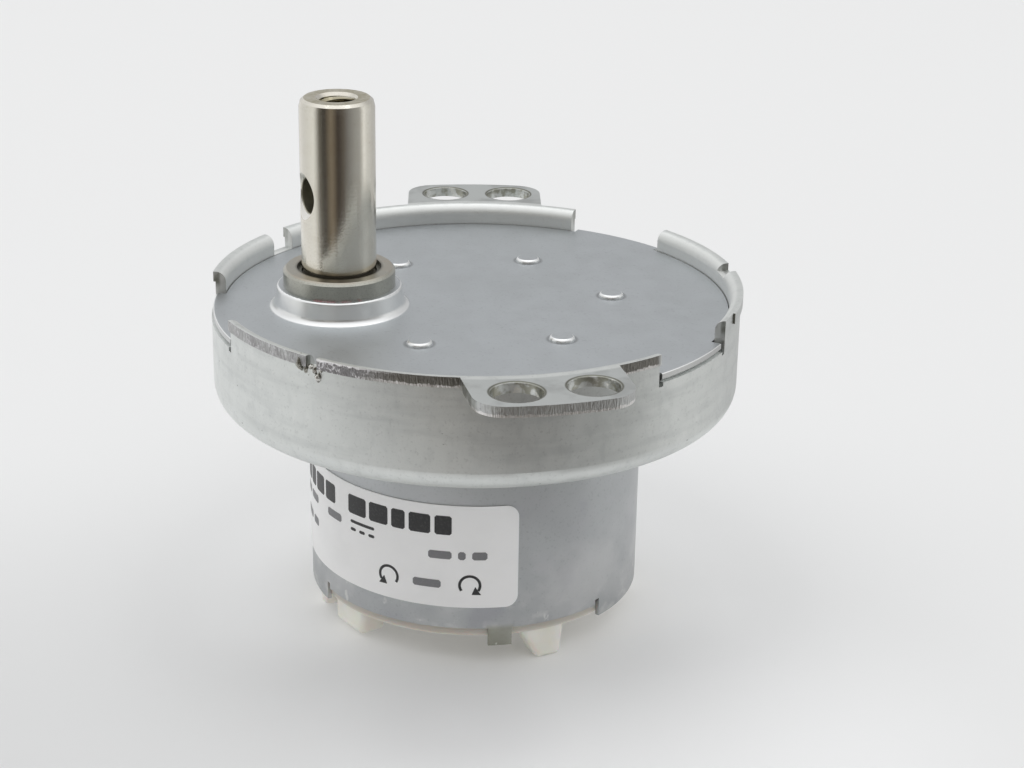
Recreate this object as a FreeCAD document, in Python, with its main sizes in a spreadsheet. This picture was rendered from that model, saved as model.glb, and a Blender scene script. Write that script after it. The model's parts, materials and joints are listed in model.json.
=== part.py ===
import FreeCAD, Part
import math
import os
import Sketcher

# Geared DC motor: a round spur gearhead with an eccentric output shaft, on a 32 mm brush motor.
# Millimetres. Origin on the gearbox axis at the top face of the ears, +Z along the output shaft.

os.makedirs("parts", exist_ok=True)
doc = FreeCAD.newDocument("geared_motor")
V = FreeCAD.Vector

DIMENSIONS = {
    # gearbox can, a drawn cup with an outward rim
    "can_r": 25.0,
    "can_sheet": 1.0,
    "can_bottom": -11.0,
    "can_corner": 2.0,
    "can_inner_corner": 1.0,
    "can_inner_r": "=can_r - can_sheet",
    "can_floor": "=can_bottom + can_sheet",
    "lip_r": 25.2,
    "mouth_round": 0.98,
    "above_rim": 0.5,
    "rim_cut_inner_r": "=can_inner_r - 1",
    "rim_cut_outer_r": "=can_r + 1",
    "slit_floor": -2.0,
    "lip_slit_floor": -1.1,
    "notch_floor": -0.7,
    "ear_top": 0.0,
    "ear_bottom": "=ear_top - can_sheet",
    "ear_reach": 31.7,
    "ear_hole_r": 2.25,
    "ear_hole_orbit": 28.5,
    "ear_hole_spread": 13.5,
    "ear_hole_round": 0.2,
    "ear_root_r": 25.05,
    "ear_half": 7.0,
    "ear_corner": 2.8,
    "boss_hole_r": 4.7,
    # cover plate
    "plate_r": 23.9,
    "plate_sheet": 0.8,
    "plate_top": -2.0,
    "plate_bottom": "=plate_top - plate_sheet",
    "tab_r": 24.85,
    "tab_root_r": 22.0,
    "tab_under": 0.3,
    "tab_edge_round": 0.14,
    "corner_relief": 0.35,
    "seat_r": 1.18,
    "seat_rise": 0.35,
    "seat_round": 0.3,
    "seat_depth": 0.6,
    "collar_foot_r": 6.17,
    "collar_head_r": 5.86,
    "collar_rise": 2.1,
    "collar_foot_round": 0.7,
    "collar_head_round": 0.25,
    # output shaft and its bushes
    "gear_orbit": 13.0,
    "shaft_r": 3.5,
    "shaft_top": 18.0,
    "shaft_split": 6.6,
    "shaft_bottom": -10.8,
    "shaft_foot_r": 1.8,
    "shaft_foot_top": "=shaft_bottom + 0.2",
    "neck_r": 3.2,
    "neck_low": 1.2,
    "neck_high": 1.95,
    "nose_low": "=shaft_top - 0.8",
    "nose_middle": "=shaft_top - 0.25",
    "nose_middle_r": 3.36,
    "nose_r": 3.05,
    "gear_seat_r": 3.6,
    "spacer_r": 2.6,
    "spacer_top": -6.9,
    "web_r": 3.4,
    "pivot_r": 2.0,
    "pivot_bore_r": 2.03,
    "pivot_top": -9.1,
    "tapped_r": 1.65,
    "tapped_mouth_r": 1.95,
    "tapped_floor": 12.5,
    "tapped_point": 12.0,
    "tapped_top": "=shaft_top - 0.3",
    "cross_hole_r": "=tapped_r",
    "cross_hole_z": 9.0,
    "cross_hole_start": 5.0,
    "cross_hole_cut": "=2 * cross_hole_start",
    "cross_bevel": 0.6,
    "cross_bevel_cut": "=cross_hole_start - shaft_r + cross_bevel",
    "cross_bevel_r": "=cross_hole_r + cross_bevel_cut",
    "bush_r": 5.25,
    "bush_bore_r": 3.53,
    "bush_top": 1.8,
    "bush_shoulder": 1.5,
    "bush_face_r": 4.95,
    "bush_dish_r": 3.95,
    "bush_dish_foot_r": 3.85,
    "bush_dish": 1.45,
    "bush_bottom": -3.7,
    "thrust_low": -4.0,
    "thrust_inner_r": 3.75,
    "thrust_outer_r": 5.0,
    "hub_r": 5.2,
    "hub_top": -4.1,
    "lower_bush_r": 3.5,
    "lower_flange_r": 4.6,
    "lower_flange_top": -9.2,
    # gear train: teeth, and the height of each layer of wheels
    "wheel_teeth": 35,
    "first_wheel_teeth": 38,
    "pinion_teeth": 17,
    "motor_pinion_teeth": 14,
    "wheel_face": 1.0,
    "layer_0": -8.9,
    "layer_1": -7.6,
    "layer_2": -6.3,
    "layer_3": -5.0,
    "axle_r": 0.75,
    "axle_bore_r": 0.78,
    "axle_bottom": -10.9,
    "axle_top": -2.25,
    "axle_nose_r": 0.65,
    "axle_nose": "=axle_top - 0.1",
    "barrel_r": 2.0,
    "barrel_bottom": -9.7,
    "barrel_top": -3.1,
    "rivet_r": 2.6,
    "pinion_shoulder_r": 3.2,
    "lightening_orbit": 5.4,
    "lightening_r": 1.35,
    "motor_pinion_low": -9.3,
    "motor_pinion_face": 1.5,
    "washer_r": 1.9,
    "washer_thick": 0.25,
    # motor
    "motor_r": 16.0,
    "motor_sheet": 0.9,
    "motor_inner_r": "=motor_r - motor_sheet",
    "motor_top": -11.0,
    "motor_roof": "=motor_top - motor_sheet",
    "motor_edge": -28.7,
    "motor_boss_r": 4.5,
    "motor_boss_top": -9.6,
    "motor_corner": 1.2,
    "motor_inner_corner": 0.4,
    "crimp_drop": 1.3,
    "narrow_crimp_drop": 1.8,
    "crimp_notch_inner_r": 14.5,
    "crimp_notch_outer_r": 16.5,
    "crimp_notch_top": "=motor_edge + 0.55",
    "crimp_notch_low": "=motor_edge - 1.7",
    "bearing_r": 3.0,
    "bearing_bore_r": 1.03,
    "bearing_cone_r": 1.35,
    "front_bearing_low": -12.6,
    "front_bearing_top": -9.8,
    "front_bearing_cone": "=front_bearing_top - 0.3",
    "rear_bearing_r": 2.8,
    "rear_bearing_low": -30.2,
    "rear_bearing_top": -27.6,
    "rear_bearing_cone": "=rear_bearing_top - 0.3",
    "motor_shaft_r": 1.0,
    "motor_shaft_top": -7.9,
    "motor_shaft_bottom": -30.0,
    "motor_shaft_nose_r": 0.85,
    "motor_shaft_nose_low": "=motor_shaft_bottom + 0.15",
    "motor_shaft_nose_high": "=motor_shaft_top - 0.15",
    "screw_orbit": 8.0,
    "screw_r": 1.25,
    "floor_screw_r": 1.35,
    "screw_head_r": 2.25,
    "screw_head_top": -9.2,
    "screw_bottom": -12.4,
    "screw_slot_wide": 0.6,
    "screw_slot_deep": 0.4,
    "magnet_outer_r": 15.05,
    "magnet_inner_r": 12.2,
    "magnet_bottom": -26.3,
    "magnet_length": 13.1,
    "magnet_chamfer": 0.35,
    "spring_inner_r": 14.3,
    "spring_outer_r": 14.9,
    "spring_bottom": -25.0,
    "spring_length": 10.0,
    "core_r": 11.8,
    "core_hub_r": 4.5,
    "core_bottom": -22.8,
    "core_length": 8.6,
    "pole_start": 4.0,
    "pole_end": 10.6,
    "pole_half": 1.8,
    "shoe_inner_r": 10.3,
    "coil_start": 4.7,
    "coil_length": 4.7,
    "coil_round": 1.6,
    "coil_play": 0.05,
    "coil_side": 2.15,
    "coil_end": 1.25,
    "rotor_washer_r": 2.0,
    "commutator_r": 3.1,
    "commutator_hub_r": 2.6,
    "commutator_bottom": -26.8,
    "commutator_length": 2.3,
    "commutator_hub_low": -27.0,
    "commutator_hub_high": -24.3,
    # end cap, brushes and terminals
    "cap_flange_r": 15.6,
    "cap_spigot_r": 15.05,
    "cap_top": -27.2,
    "cap_bottom": -29.6,
    "cap_well_r": 2.8,
    "cap_well_floor": -30.2,
    "cap_boss_r": 4.5,
    "cap_boss_low": -30.8,
    "lug_top": -29.3,
    "lug_round": 0.55,
    "feet": -32.9,
    "short_feet": "=feet + 0.45",
    "slot_near": 12.7,
    "slot_far": 13.3,
    "slot_low_side": 1.95,
    "slot_high_side": 4.25,
    "slot_depth": 5.7,
    "leaf_low": -26.6,
    "leaf_tall": 1.8,
    "brush_low": -26.3,
    "brush_tall": 1.3,
    "terminal_side": 2.1,
    "terminal_wide": 2.0,
    "label_bottom": -26.5,
    "label_tall": 10.3,
    "label_thick": 0.1,
    "label_corner": 1.2,
}

MODULE = 0.5
PRESSURE_ANGLE = math.radians(20)
TOOTH_THINNING = 0.055
AXLE_AZIMUTHS = (-120, -60, 0, 60, 120)
OUTPUT_AZIMUTH = 180
CROSS_HOLE_AZIMUTH = -162.5
BEVEL_TAPER = -45.0

# azimuths of the gaps in the can's rim that the plate's tabs lie in, then of its narrow slits
RIM_GAPS = ((-57.1, -32.4), (33.3, 59.0), (169.3, 201.0))
RIM_SLITS = ((134.4, 141.0),)
LIP_SLITS = ((227.5, 230.2),)
RIM_NOTCHES = ((1.0, 6.4),)
LIP_CUTS = ((-32.6, -27.0),)
TAB_END_CLEARANCE = 1.2
EAR_AZIMUTHS = (-83.8, 83.8)

# azimuths of the tongues that the motor can is crimped over its end cap with, and of a tongue's notches
WIDE_CRIMPS = ((-201.0, -158.4), (-48.8, -8.0))
NARROW_CRIMPS = ((-92.0, -84.0), (88.0, 96.0))
CRIMP_NOTCH = 1.9

MAGNET_MIDDLES = {"magnet_a": 0, "magnet_b": 180}
MAGNET_HALF = 64
SPRING_SPANS = ((66, 114), (246, 294))
POLE_AZIMUTHS = (0, 120, 240)
SEGMENT_GAP = 3
SHOE_HALF = 50
LABEL_SPAN = (-242.2, -82.2)

# the low face and the thickness of each washer on the motor's shaft
ROTOR_WASHERS = ((-14.2, 1.5), (-27.5, 0.4))

sheet = doc.addObject("Spreadsheet::Sheet", "Dims")
for row, (name, value) in enumerate(DIMENSIONS.items(), start=1):
    sheet.set(f"A{row}", name)
    sheet.set(f"B{row}", str(value))
    sheet.setAlias(f"B{row}", name)
doc.recompute()


def size(value):
    """A number, or the sheet's value of a name; a leading minus turns its sign."""
    if not isinstance(value, str):
        return float(value)
    if value.startswith("-"):
        return -float(sheet.get(value[1:]))
    return float(sheet.get(value))


def bind(thing, prop, value):
    """Tie a property or a constraint to the sheet, if value is a name in it."""
    if isinstance(value, str):
        sign = "-" if value.startswith("-") else ""
        thing.setExpression(prop, f"{sign}Dims.{value.lstrip('-')}")


def polar(radius, azimuth):
    return V(radius * math.cos(math.radians(azimuth)), radius * math.sin(math.radians(azimuth)), 0)


def new_body(label, azimuth=None, turn=0.0):
    """A body, on the gearbox axis or on the circle of gear axles."""
    body = doc.addObject("PartDesign::Body", label)
    body.Label = label
    at = V(0, 0, 0) if azimuth is None else polar(size("gear_orbit"), azimuth)
    body.Placement = FreeCAD.Placement(at, FreeCAD.Rotation(V(0, 0, 1), turn))
    if azimuth is not None:
        body.setExpression("Placement.Base.x", f"Dims.gear_orbit * cos({azimuth} deg)")
        body.setExpression("Placement.Base.y", f"Dims.gear_orbit * sin({azimuth} deg)")
    return body


def new_sketch(body, height=0.0, role="XY_Plane", offset=None):
    sketch = body.newObject("Sketcher::SketchObject", body.Name + "_sketch")
    plane = next(f for f in body.Origin.OriginFeatures if f.Role == role)
    sketch.AttachmentSupport = [(plane, "")]
    sketch.MapMode = "FlatFace"
    sketch.AttachmentOffset = offset or FreeCAD.Placement(V(0, 0, size(height)), FreeCAD.Rotation())
    bind(sketch, "AttachmentOffset.Base.z", height)
    return sketch


def place_point(sketch, geometry, end, x, y):
    """Fix one end of a line at x, y."""
    for kind, axis, value in (("DistanceX", -2, x), ("DistanceY", -1, y)):
        if size(value) == 0:
            sketch.addConstraint(Sketcher.Constraint("PointOnObject", geometry, end, axis))
            continue
        number = sketch.addConstraint(
            Sketcher.Constraint(kind, -1, 1, geometry, end, size(value))
        )
        bind(sketch, f"Constraints[{number}]", value)


def outline(sketch, points):
    """A closed outline of straight lines through the points."""
    here = [V(size(x), size(y), 0) for x, y in points]
    first = sketch.GeometryCount
    count = len(points)
    for i in range(count):
        sketch.addGeometry(Part.LineSegment(here[i], here[(i + 1) % count]), False)
    for i in range(count):
        sketch.addConstraint(
            Sketcher.Constraint("Coincident", first + i, 2, first + (i + 1) % count, 1)
        )
    for i, (x, y) in enumerate(points):
        place_point(sketch, first + i, 1, x, y)


def circle(sketch, radius, x=0.0, y=0.0):
    number = sketch.addGeometry(Part.Circle(V(size(x), size(y), 0), V(0, 0, 1), size(radius)), False)
    place_point(sketch, number, 3, x, y)
    constraint = sketch.addConstraint(Sketcher.Constraint("Radius", number, size(radius)))
    bind(sketch, f"Constraints[{constraint}]", radius)


def arc(sketch, points):
    """An arc through three points."""
    return sketch.addGeometry(Part.Arc(*points), False)


def ring_sector(sketch, inner, outer, start, end):
    """A closed ring sector between two radii and two azimuths."""
    middle = (start + end) / 2
    inner, outer = size(inner), size(outer)
    first = arc(sketch, (polar(inner, start), polar(inner, middle), polar(inner, end)))
    sketch.addGeometry(Part.LineSegment(polar(inner, end), polar(outer, end)), False)
    arc(sketch, (polar(outer, start), polar(outer, middle), polar(outer, end)))
    sketch.addGeometry(Part.LineSegment(polar(outer, start), polar(inner, start)), False)
    for number in range(first, first + 4):
        sketch.addConstraint(Sketcher.Constraint("Block", number))


def pad(body, sketch, length):
    feature = body.newObject("PartDesign::Pad", body.Name + "_pad")
    feature.Profile = sketch
    feature.Length = size(length)
    bind(feature, "Length", length)
    body.Tip = feature
    return feature


def pocket(body, sketch, length):
    feature = body.newObject("PartDesign::Pocket", body.Name + "_pocket")
    feature.Profile = sketch
    feature.Length = size(length)
    bind(feature, "Length", length)
    body.Tip = feature
    return feature


def add_sectors(body, spans, inner, outer, low, length):
    """Pad ring sectors up from a height."""
    sketch = new_sketch(body, low)
    for start, end in spans:
        ring_sector(sketch, inner, outer, start, end)
    return pad(body, sketch, length)


def cut_sectors(body, spans, inner, outer, top, floor):
    """Cut ring sectors down from a height to a floor."""
    sketch = new_sketch(body, top)
    for start, end in spans:
        ring_sector(sketch, inner, outer, start, end)
    return pocket(body, sketch, size(top) - size(floor))


def revolve(body, points, refine=True):
    """Turn an outline of radius and height pairs about the body's Z axis."""
    sketch = new_sketch(body, role="XZ_Plane")
    outline(sketch, points)
    feature = body.newObject("PartDesign::Revolution", body.Name + "_turned")
    feature.Profile = sketch
    feature.ReferenceAxis = (sketch, ["V_Axis"])
    feature.Angle = 360
    feature.Refine = refine
    body.Tip = feature
    return feature


def turned(label, points, azimuth=None, turn=0.0, refine=True):
    body = new_body(label, azimuth, turn)
    revolve(body, points, refine)
    return body


def pattern(body, feature, sketch, count):
    """Repeat a feature around the Z axis."""
    repeat = body.newObject("PartDesign::PolarPattern", body.Name + "_around")
    repeat.Originals = [feature]
    repeat.Axis = (sketch, ["N_Axis"])
    repeat.Angle = 360
    repeat.Occurrences = int(size(count))
    bind(repeat, "Occurrences", count)
    body.Tip = repeat
    return repeat


def edges_where(shape, wanted):
    return [f"Edge{i}" for i, edge in enumerate(shape.Edges, start=1) if wanted(edge)]


def is_circle(edge, radius, height, x=0.0, y=0.0):
    curve = edge.Curve
    if not isinstance(curve, Part.Circle):
        return False
    centre = curve.Center
    off = abs(curve.Radius - radius) + abs(centre.z - height) + abs(centre.x - x) + abs(centre.y - y)
    return off < 1e-3


def dress(body, kind, amount, wanted):
    """Round or chamfer the edges of the body's tip that wanted picks."""
    doc.recompute()
    tip = body.Tip
    names = edges_where(tip.Shape, wanted)
    if not names:
        raise ValueError(f"{body.Label} has no edge to dress")
    feature = body.newObject(f"PartDesign::{kind}", f"{body.Name}_{kind.lower()}")
    feature.Base = (tip, names)
    if kind == "Fillet":
        feature.Radius = size(amount)
        bind(feature, "Radius", amount)
    else:
        feature.Size = size(amount)
        bind(feature, "Size", amount)
    body.Tip = feature
    return feature


def stands(edge):
    """Whether an edge is a straight one along Z."""
    ends = [vertex.Z for vertex in edge.Vertexes]
    return isinstance(edge.Curve, Part.Line) and abs(ends[0] - ends[-1]) > 1


def is_flat_line(edge):
    ends = [vertex.Z for vertex in edge.Vertexes]
    return isinstance(edge.Curve, Part.Line) and abs(ends[0] - ends[-1]) < 1e-6


def is_ring(edge, radius, height):
    """Whether an edge is an arc of a radius at a height, wherever its centre is."""
    curve = edge.Curve
    if not isinstance(curve, Part.Circle):
        return False
    return abs(curve.Radius - radius) + abs(curve.Center.z - height) < 1e-3


def facing(azimuth, radius):
    """The offset that turns the XZ plane to face out at an azimuth, at a radius from the axis."""
    turn = FreeCAD.Rotation(V(0, 1, 0), azimuth + 90)
    return FreeCAD.Placement(turn.multVec(V(0, 0, radius)), turn)


# ---- gears ----------------------------------------------------------------------------------------

def involute(angle):
    return math.tan(angle) - angle


def tooth_half_angle(teeth, radius):
    """Half the angle that a tooth covers at a radius; below the base circle its flanks are radial."""
    pitch_r = MODULE * teeth / 2
    base_r = pitch_r * math.cos(PRESSURE_ANGLE)
    thickness = math.pi * MODULE / 2 - TOOTH_THINNING
    at = math.acos(base_r / max(radius, base_r))
    return math.degrees(thickness / 2 / pitch_r + involute(PRESSURE_ANGLE) - involute(at))


def root_radius(teeth):
    return MODULE * (teeth / 2 - 1.25)


def add_teeth(body, count, low, face, trim=0.0):
    """Teeth on a blank of the root radius, one of them pointing along the body's +X."""
    teeth = int(size(count))
    base_r = MODULE * teeth / 2 * math.cos(PRESSURE_ANGLE)
    tip_r = MODULE * (teeth / 2 + 1) - trim
    foot_r = root_radius(teeth) - 0.25
    middle_r = (base_r + tip_r) / 2
    foot, middle, tip = (tooth_half_angle(teeth, r) for r in (base_r, middle_r, tip_r))
    sketch = new_sketch(body, low)
    right = (polar(base_r, -foot), polar(middle_r, -middle), polar(tip_r, -tip))
    left = (polar(tip_r, tip), polar(middle_r, middle), polar(base_r, foot))
    sketch.addGeometry(Part.LineSegment(polar(foot_r, -foot), right[0]), False)
    arc(sketch, right)
    arc(sketch, (right[2], V(tip_r, 0, 0), left[0]))
    arc(sketch, left)
    sketch.addGeometry(Part.LineSegment(left[2], polar(foot_r, foot)), False)
    sketch.addGeometry(Part.LineSegment(polar(foot_r, foot), polar(foot_r, -foot)), False)
    for number in range(6):
        sketch.addConstraint(Sketcher.Constraint("Block", number))
    return pattern(body, pad(body, sketch, face), sketch, count)


def blank(body, count, low, face, bore):
    """A round blank of the teeth's root radius, with a bore."""
    sketch = new_sketch(body, low)
    circle(sketch, root_radius(int(size(count))))
    circle(sketch, bore)
    return pad(body, sketch, face)


def wheel(label, count, low, bore, azimuth, turn, trim=0.0):
    """A blanked wheel with four lightening holes."""
    body = new_body(label, azimuth, turn)
    blank(body, count, low, "wheel_face", bore)
    add_teeth(body, count, low, "wheel_face", trim)
    sketch = new_sketch(body, size(low) + size("wheel_face"))
    for quarter in range(4):
        at = polar(size("lightening_orbit"), 90 * quarter + 45)
        circle(sketch, "lightening_r", at.x, at.y)
    pocket(body, sketch, "wheel_face")
    return body


def pinion(label, steps, teeth_low, teeth_high, azimuth, turn):
    """A cut pinion: a stepped barrel that turns on its axle, with teeth on one of its steps."""
    profile = [("axle_bore_r", "barrel_bottom")]
    for radius, low, high in steps:
        profile += [(radius, low), (radius, high)]
    profile.append(("axle_bore_r", "barrel_top"))
    body = turned(label, profile, azimuth, turn)
    add_teeth(body, "pinion_teeth", teeth_low, teeth_high - teeth_low)
    return body


def mesh_turn(driver_teeth, driver_turn, driven_teeth, line):
    """The driven gear's turn that puts a space of it around a tooth of the driver, on a line of centres."""
    driver_phase = driver_teeth * (driver_turn - line)
    driven_phase = 180 - driver_phase
    return line + 180 + driven_phase / driven_teeth


def centre_of(azimuth):
    return V(0, 0, 0) if azimuth is None else polar(size("gear_orbit"), azimuth)


def line_between(first, second):
    step = centre_of(second) - centre_of(first)
    return math.degrees(math.atan2(step.y, step.x))


WHEEL_TEETH = int(size("wheel_teeth"))
FIRST_WHEEL_TEETH = int(size("first_wheel_teeth"))
PINION_TEETH = int(size("pinion_teeth"))
MOTOR_PINION_TEETH = int(size("motor_pinion_teeth"))

# each gear of the train: its azimuth, its wheel's layer, and its pinion's teeth from and to
root = root_radius(PINION_TEETH)
TRAIN = (
    (-120, "layer_0", -7.9, -6.5),
    (-60, "layer_1", -6.6, -5.2),
    (0, "layer_2", -5.3, -3.9),
    (60, "layer_3", -7.7, -6.5),
    (120, "layer_1", -6.6, -5.2),
)

driver_teeth, driver_turn, driver_azimuth = MOTOR_PINION_TEETH, 0.0, None
for number, (azimuth, layer, teeth_low, teeth_high) in enumerate(TRAIN, start=1):
    count = "first_wheel_teeth" if number == 1 else "wheel_teeth"
    line = line_between(driver_azimuth, azimuth)
    turn = mesh_turn(driver_teeth, driver_turn, int(size(count)), line)
    wheel(f"wheel_{number}", count, layer, "rivet_r", azimuth, turn, 0.06 if number == 1 else 0.0)
    low, high = size(layer), size(layer) + size("wheel_face")
    steps = [("barrel_r", "barrel_bottom", low if teeth_low >= low else teeth_low)]
    if teeth_low >= low:
        steps += [("rivet_r", low, high), (root, high, teeth_high), ("barrel_r", teeth_high, "barrel_top")]
    else:
        steps += [(root, teeth_low, teeth_high), ("pinion_shoulder_r", teeth_high, low)]
        steps += [("rivet_r", low, high)]
        steps += [("barrel_r", high, "barrel_top")]
    pinion(f"pinion_{number}", steps, teeth_low, teeth_high, azimuth, turn)
    driver_teeth, driver_turn, driver_azimuth = PINION_TEETH, turn, azimuth
    turned(
        f"gear_axle_{number}",
        [
            (0.0, "axle_bottom"),
            ("axle_r", "axle_bottom"),
            ("axle_r", "axle_nose"),
            ("axle_nose_r", "axle_top"),
            (0.0, "axle_top"),
        ],
        azimuth,
    )

output_turn = mesh_turn(
    PINION_TEETH, driver_turn, WHEEL_TEETH, line_between(driver_azimuth, OUTPUT_AZIMUTH)
)
output_gear = new_body("output_gear", OUTPUT_AZIMUTH, output_turn)
blank(output_gear, "wheel_teeth", "layer_2", "wheel_face", "gear_seat_r")
add_teeth(output_gear, "wheel_teeth", "layer_2", "wheel_face")
hub_low = size("layer_2") + size("wheel_face")
hub = new_sketch(output_gear, hub_low)
circle(hub, "hub_r")
circle(hub, "gear_seat_r")
pad(output_gear, hub, size("hub_top") - hub_low)

motor_pinion = new_body("motor_pinion")
blank(motor_pinion, "motor_pinion_teeth", "motor_pinion_low", "motor_pinion_face", "motor_shaft_r")
add_teeth(motor_pinion, "motor_pinion_teeth", "motor_pinion_low", "motor_pinion_face")

# ---- output shaft and bushes ------------------------------------------------------------------------

shaft = turned(
    "output_shaft",
    [
        (0.0, "shaft_bottom"),
        ("shaft_foot_r", "shaft_bottom"),
        ("pivot_r", "shaft_foot_top"),
        ("pivot_r", "pivot_top"),
        ("spacer_r", "pivot_top"),
        ("spacer_r", "spacer_top"),
        ("web_r", "spacer_top"),
        ("web_r", "layer_2"),
        ("gear_seat_r", "layer_2"),
        ("gear_seat_r", "hub_top"),
        ("shaft_r", "hub_top"),
        ("shaft_r", "neck_low"),
        ("neck_r", "neck_low"),
        ("neck_r", "neck_high"),
        ("shaft_r", "neck_high"),
        ("shaft_r", "shaft_split"),
        ("shaft_r", "nose_low"),
        ("nose_middle_r", "nose_middle"),
        ("nose_r", "shaft_top"),
        ("tapped_mouth_r", "shaft_top"),
        ("tapped_r", "tapped_top"),
        ("tapped_r", "tapped_floor"),
        (0.0, "tapped_point"),
    ],
    OUTPUT_AZIMUTH,
    refine=False,
)
# the cross hole is cut inward from clear of the shaft, and its mouth is bevelled by a cone
for radius, deep, taper in (
    ("cross_hole_r", "cross_hole_cut", 0.0),
    ("cross_bevel_r", "cross_bevel_cut", BEVEL_TAPER),
):
    cross = new_sketch(
        shaft, role="XZ_Plane", offset=facing(CROSS_HOLE_AZIMUTH, size("cross_hole_start"))
    )
    circle(cross, radius, 0.0, "cross_hole_z")
    hole = pocket(shaft, cross, deep)
    hole.TaperAngle = taper
    hole.Refine = False

turned(
    "output_bush",
    [
        ("bush_bore_r", "bush_bottom"),
        ("bush_r", "bush_bottom"),
        ("bush_r", "bush_shoulder"),
        ("bush_face_r", "bush_top"),
        ("bush_dish_r", "bush_top"),
        ("bush_dish_foot_r", "bush_dish"),
        ("bush_bore_r", "bush_dish"),
    ],
    OUTPUT_AZIMUTH,
)
turned(
    "output_thrust_washer",
    [
        ("thrust_inner_r", "thrust_low"),
        ("thrust_outer_r", "thrust_low"),
        ("thrust_outer_r", "bush_bottom"),
        ("thrust_inner_r", "bush_bottom"),
    ],
    OUTPUT_AZIMUTH,
)
turned(
    "output_lower_bush",
    [
        ("pivot_bore_r", "can_bottom"),
        ("lower_bush_r", "can_bottom"),
        ("lower_bush_r", "can_floor"),
        ("lower_flange_r", "can_floor"),
        ("lower_flange_r", "lower_flange_top"),
        ("pivot_bore_r", "lower_flange_top"),
    ],
    OUTPUT_AZIMUTH,
)

washers = []
for azimuth in AXLE_AZIMUTHS:
    for low in (size("can_floor"), size("plate_bottom") - size("washer_thick")):
        disc = doc.addObject("Part::Cylinder", "washer_disc")
        hole = doc.addObject("Part::Cylinder", "washer_hole")
        for solid, radius in ((disc, "washer_r"), (hole, "axle_bore_r")):
            solid.setExpression("Radius", f"Dims.{radius}")
            solid.setExpression("Height", "Dims.washer_thick")
            solid.Placement.Base = polar(size("gear_orbit"), azimuth) + V(0, 0, low)
        washer = doc.addObject("Part::Cut", "washer")
        washer.Base = disc
        washer.Tool = hole
        washers.append(washer)
gear_washers = doc.addObject("Part::Compound", "gear_washers")
gear_washers.Label = "gear_washers"
gear_washers.Links = washers

# ---- gearbox can -------------------------------------------------------------------------------------

can = new_body("gearbox_can")
revolve(
    can,
    [
        (0.0, "can_bottom"),
        ("can_r", "can_bottom"),
        ("can_r", "ear_bottom"),
        ("lip_r", "ear_bottom"),
        ("lip_r", "ear_top"),
        ("can_inner_r", "ear_top"),
        ("can_inner_r", "can_floor"),
        (0.0, "can_floor"),
    ],
)
dress(can, "Fillet", "can_corner", lambda e: is_circle(e, size("can_r"), size("can_bottom")))
dress(can, "Fillet", "can_inner_corner", lambda e: is_circle(e, size("can_inner_r"), size("can_floor")))
dress(can, "Fillet", "mouth_round", lambda e: is_circle(e, size("can_inner_r"), size("ear_top")))


def ear_outline(sketch, azimuth):
    """An ear: parallel sides along its own radial line, an end concentric with the can, round corners."""
    half, corner, reach = size("ear_half"), size("ear_corner"), size("ear_reach")
    root = size("ear_root_r")
    near = math.sqrt(root**2 - half**2)
    side = math.degrees(math.asin((half - corner) / (reach - corner)))
    along, across = polar(1, azimuth), polar(1, azimuth + 90)
    corner_at = polar(reach - corner, azimuth + side)
    other_at = polar(reach - corner, azimuth - side)
    start = along * near + across * half
    flank = along * corner_at.dot(along) + across * half
    nose = polar(reach, azimuth + side)
    bend = corner_at + (across + polar(1, azimuth + side)).normalize() * corner
    far_nose = polar(reach, azimuth - side)
    far_bend = other_at + (across * -1 + polar(1, azimuth - side)).normalize() * corner
    far_flank = along * other_at.dot(along) - across * half
    finish = along * near - across * half
    sketch.addGeometry(Part.LineSegment(start, flank), False)
    arc(sketch, (flank, bend, nose))
    arc(sketch, (nose, polar(reach, azimuth), far_nose))
    arc(sketch, (far_nose, far_bend, far_flank))
    sketch.addGeometry(Part.LineSegment(far_flank, finish), False)
    arc(sketch, (finish, polar(root, azimuth), start))


ears = new_sketch(can, "ear_bottom")
for azimuth in EAR_AZIMUTHS:
    ear_outline(ears, azimuth)
for number in range(ears.GeometryCount):
    ears.addConstraint(Sketcher.Constraint("Block", number))
pad(can, ears, "can_sheet")

ear_holes = new_sketch(can, "ear_top")
for side in (-1, 1):
    circle(ear_holes, "ear_hole_r", 0.0, "-ear_hole_orbit" if side < 0 else "ear_hole_orbit")
    second = polar(size("ear_hole_orbit"), side * (90 - size("ear_hole_spread")))
    circle(ear_holes, "ear_hole_r", second.x, second.y)
pocket(can, ear_holes, "can_sheet")
dress(can, "Fillet", "ear_hole_round", lambda e: is_ring(e, size("ear_hole_r"), size("ear_top")))

across_wall = ("rim_cut_inner_r", "rim_cut_outer_r", "above_rim")
cut_sectors(can, RIM_GAPS, *across_wall, "plate_bottom")
cut_sectors(can, RIM_SLITS, *across_wall, "slit_floor")
cut_sectors(can, LIP_SLITS, *across_wall, "lip_slit_floor")
cut_sectors(can, RIM_NOTCHES, *across_wall, "notch_floor")
cut_sectors(can, LIP_CUTS, "can_r", "rim_cut_outer_r", "above_rim", "ear_bottom")
gap_corners = [(start, start + TAB_END_CLEARANCE) for start, _ in RIM_GAPS]
gap_corners += [(end - TAB_END_CLEARANCE, end) for _, end in RIM_GAPS]
cut_sectors(can, gap_corners, *across_wall, size("plate_bottom") - size("corner_relief"))

floor_holes = new_sketch(can, "can_floor")
circle(floor_holes, "boss_hole_r")
circle(floor_holes, "lower_bush_r", "-gear_orbit", 0.0)
for side in (-1, 1):
    circle(floor_holes, "floor_screw_r", 0.0, "screw_orbit" if side > 0 else "-screw_orbit")
for azimuth in AXLE_AZIMUTHS:
    at = polar(size("gear_orbit"), azimuth)
    circle(floor_holes, "axle_r", at.x, round(at.y, 9))
pocket(can, floor_holes, "can_sheet")

# ---- cover plate -------------------------------------------------------------------------------------

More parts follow.
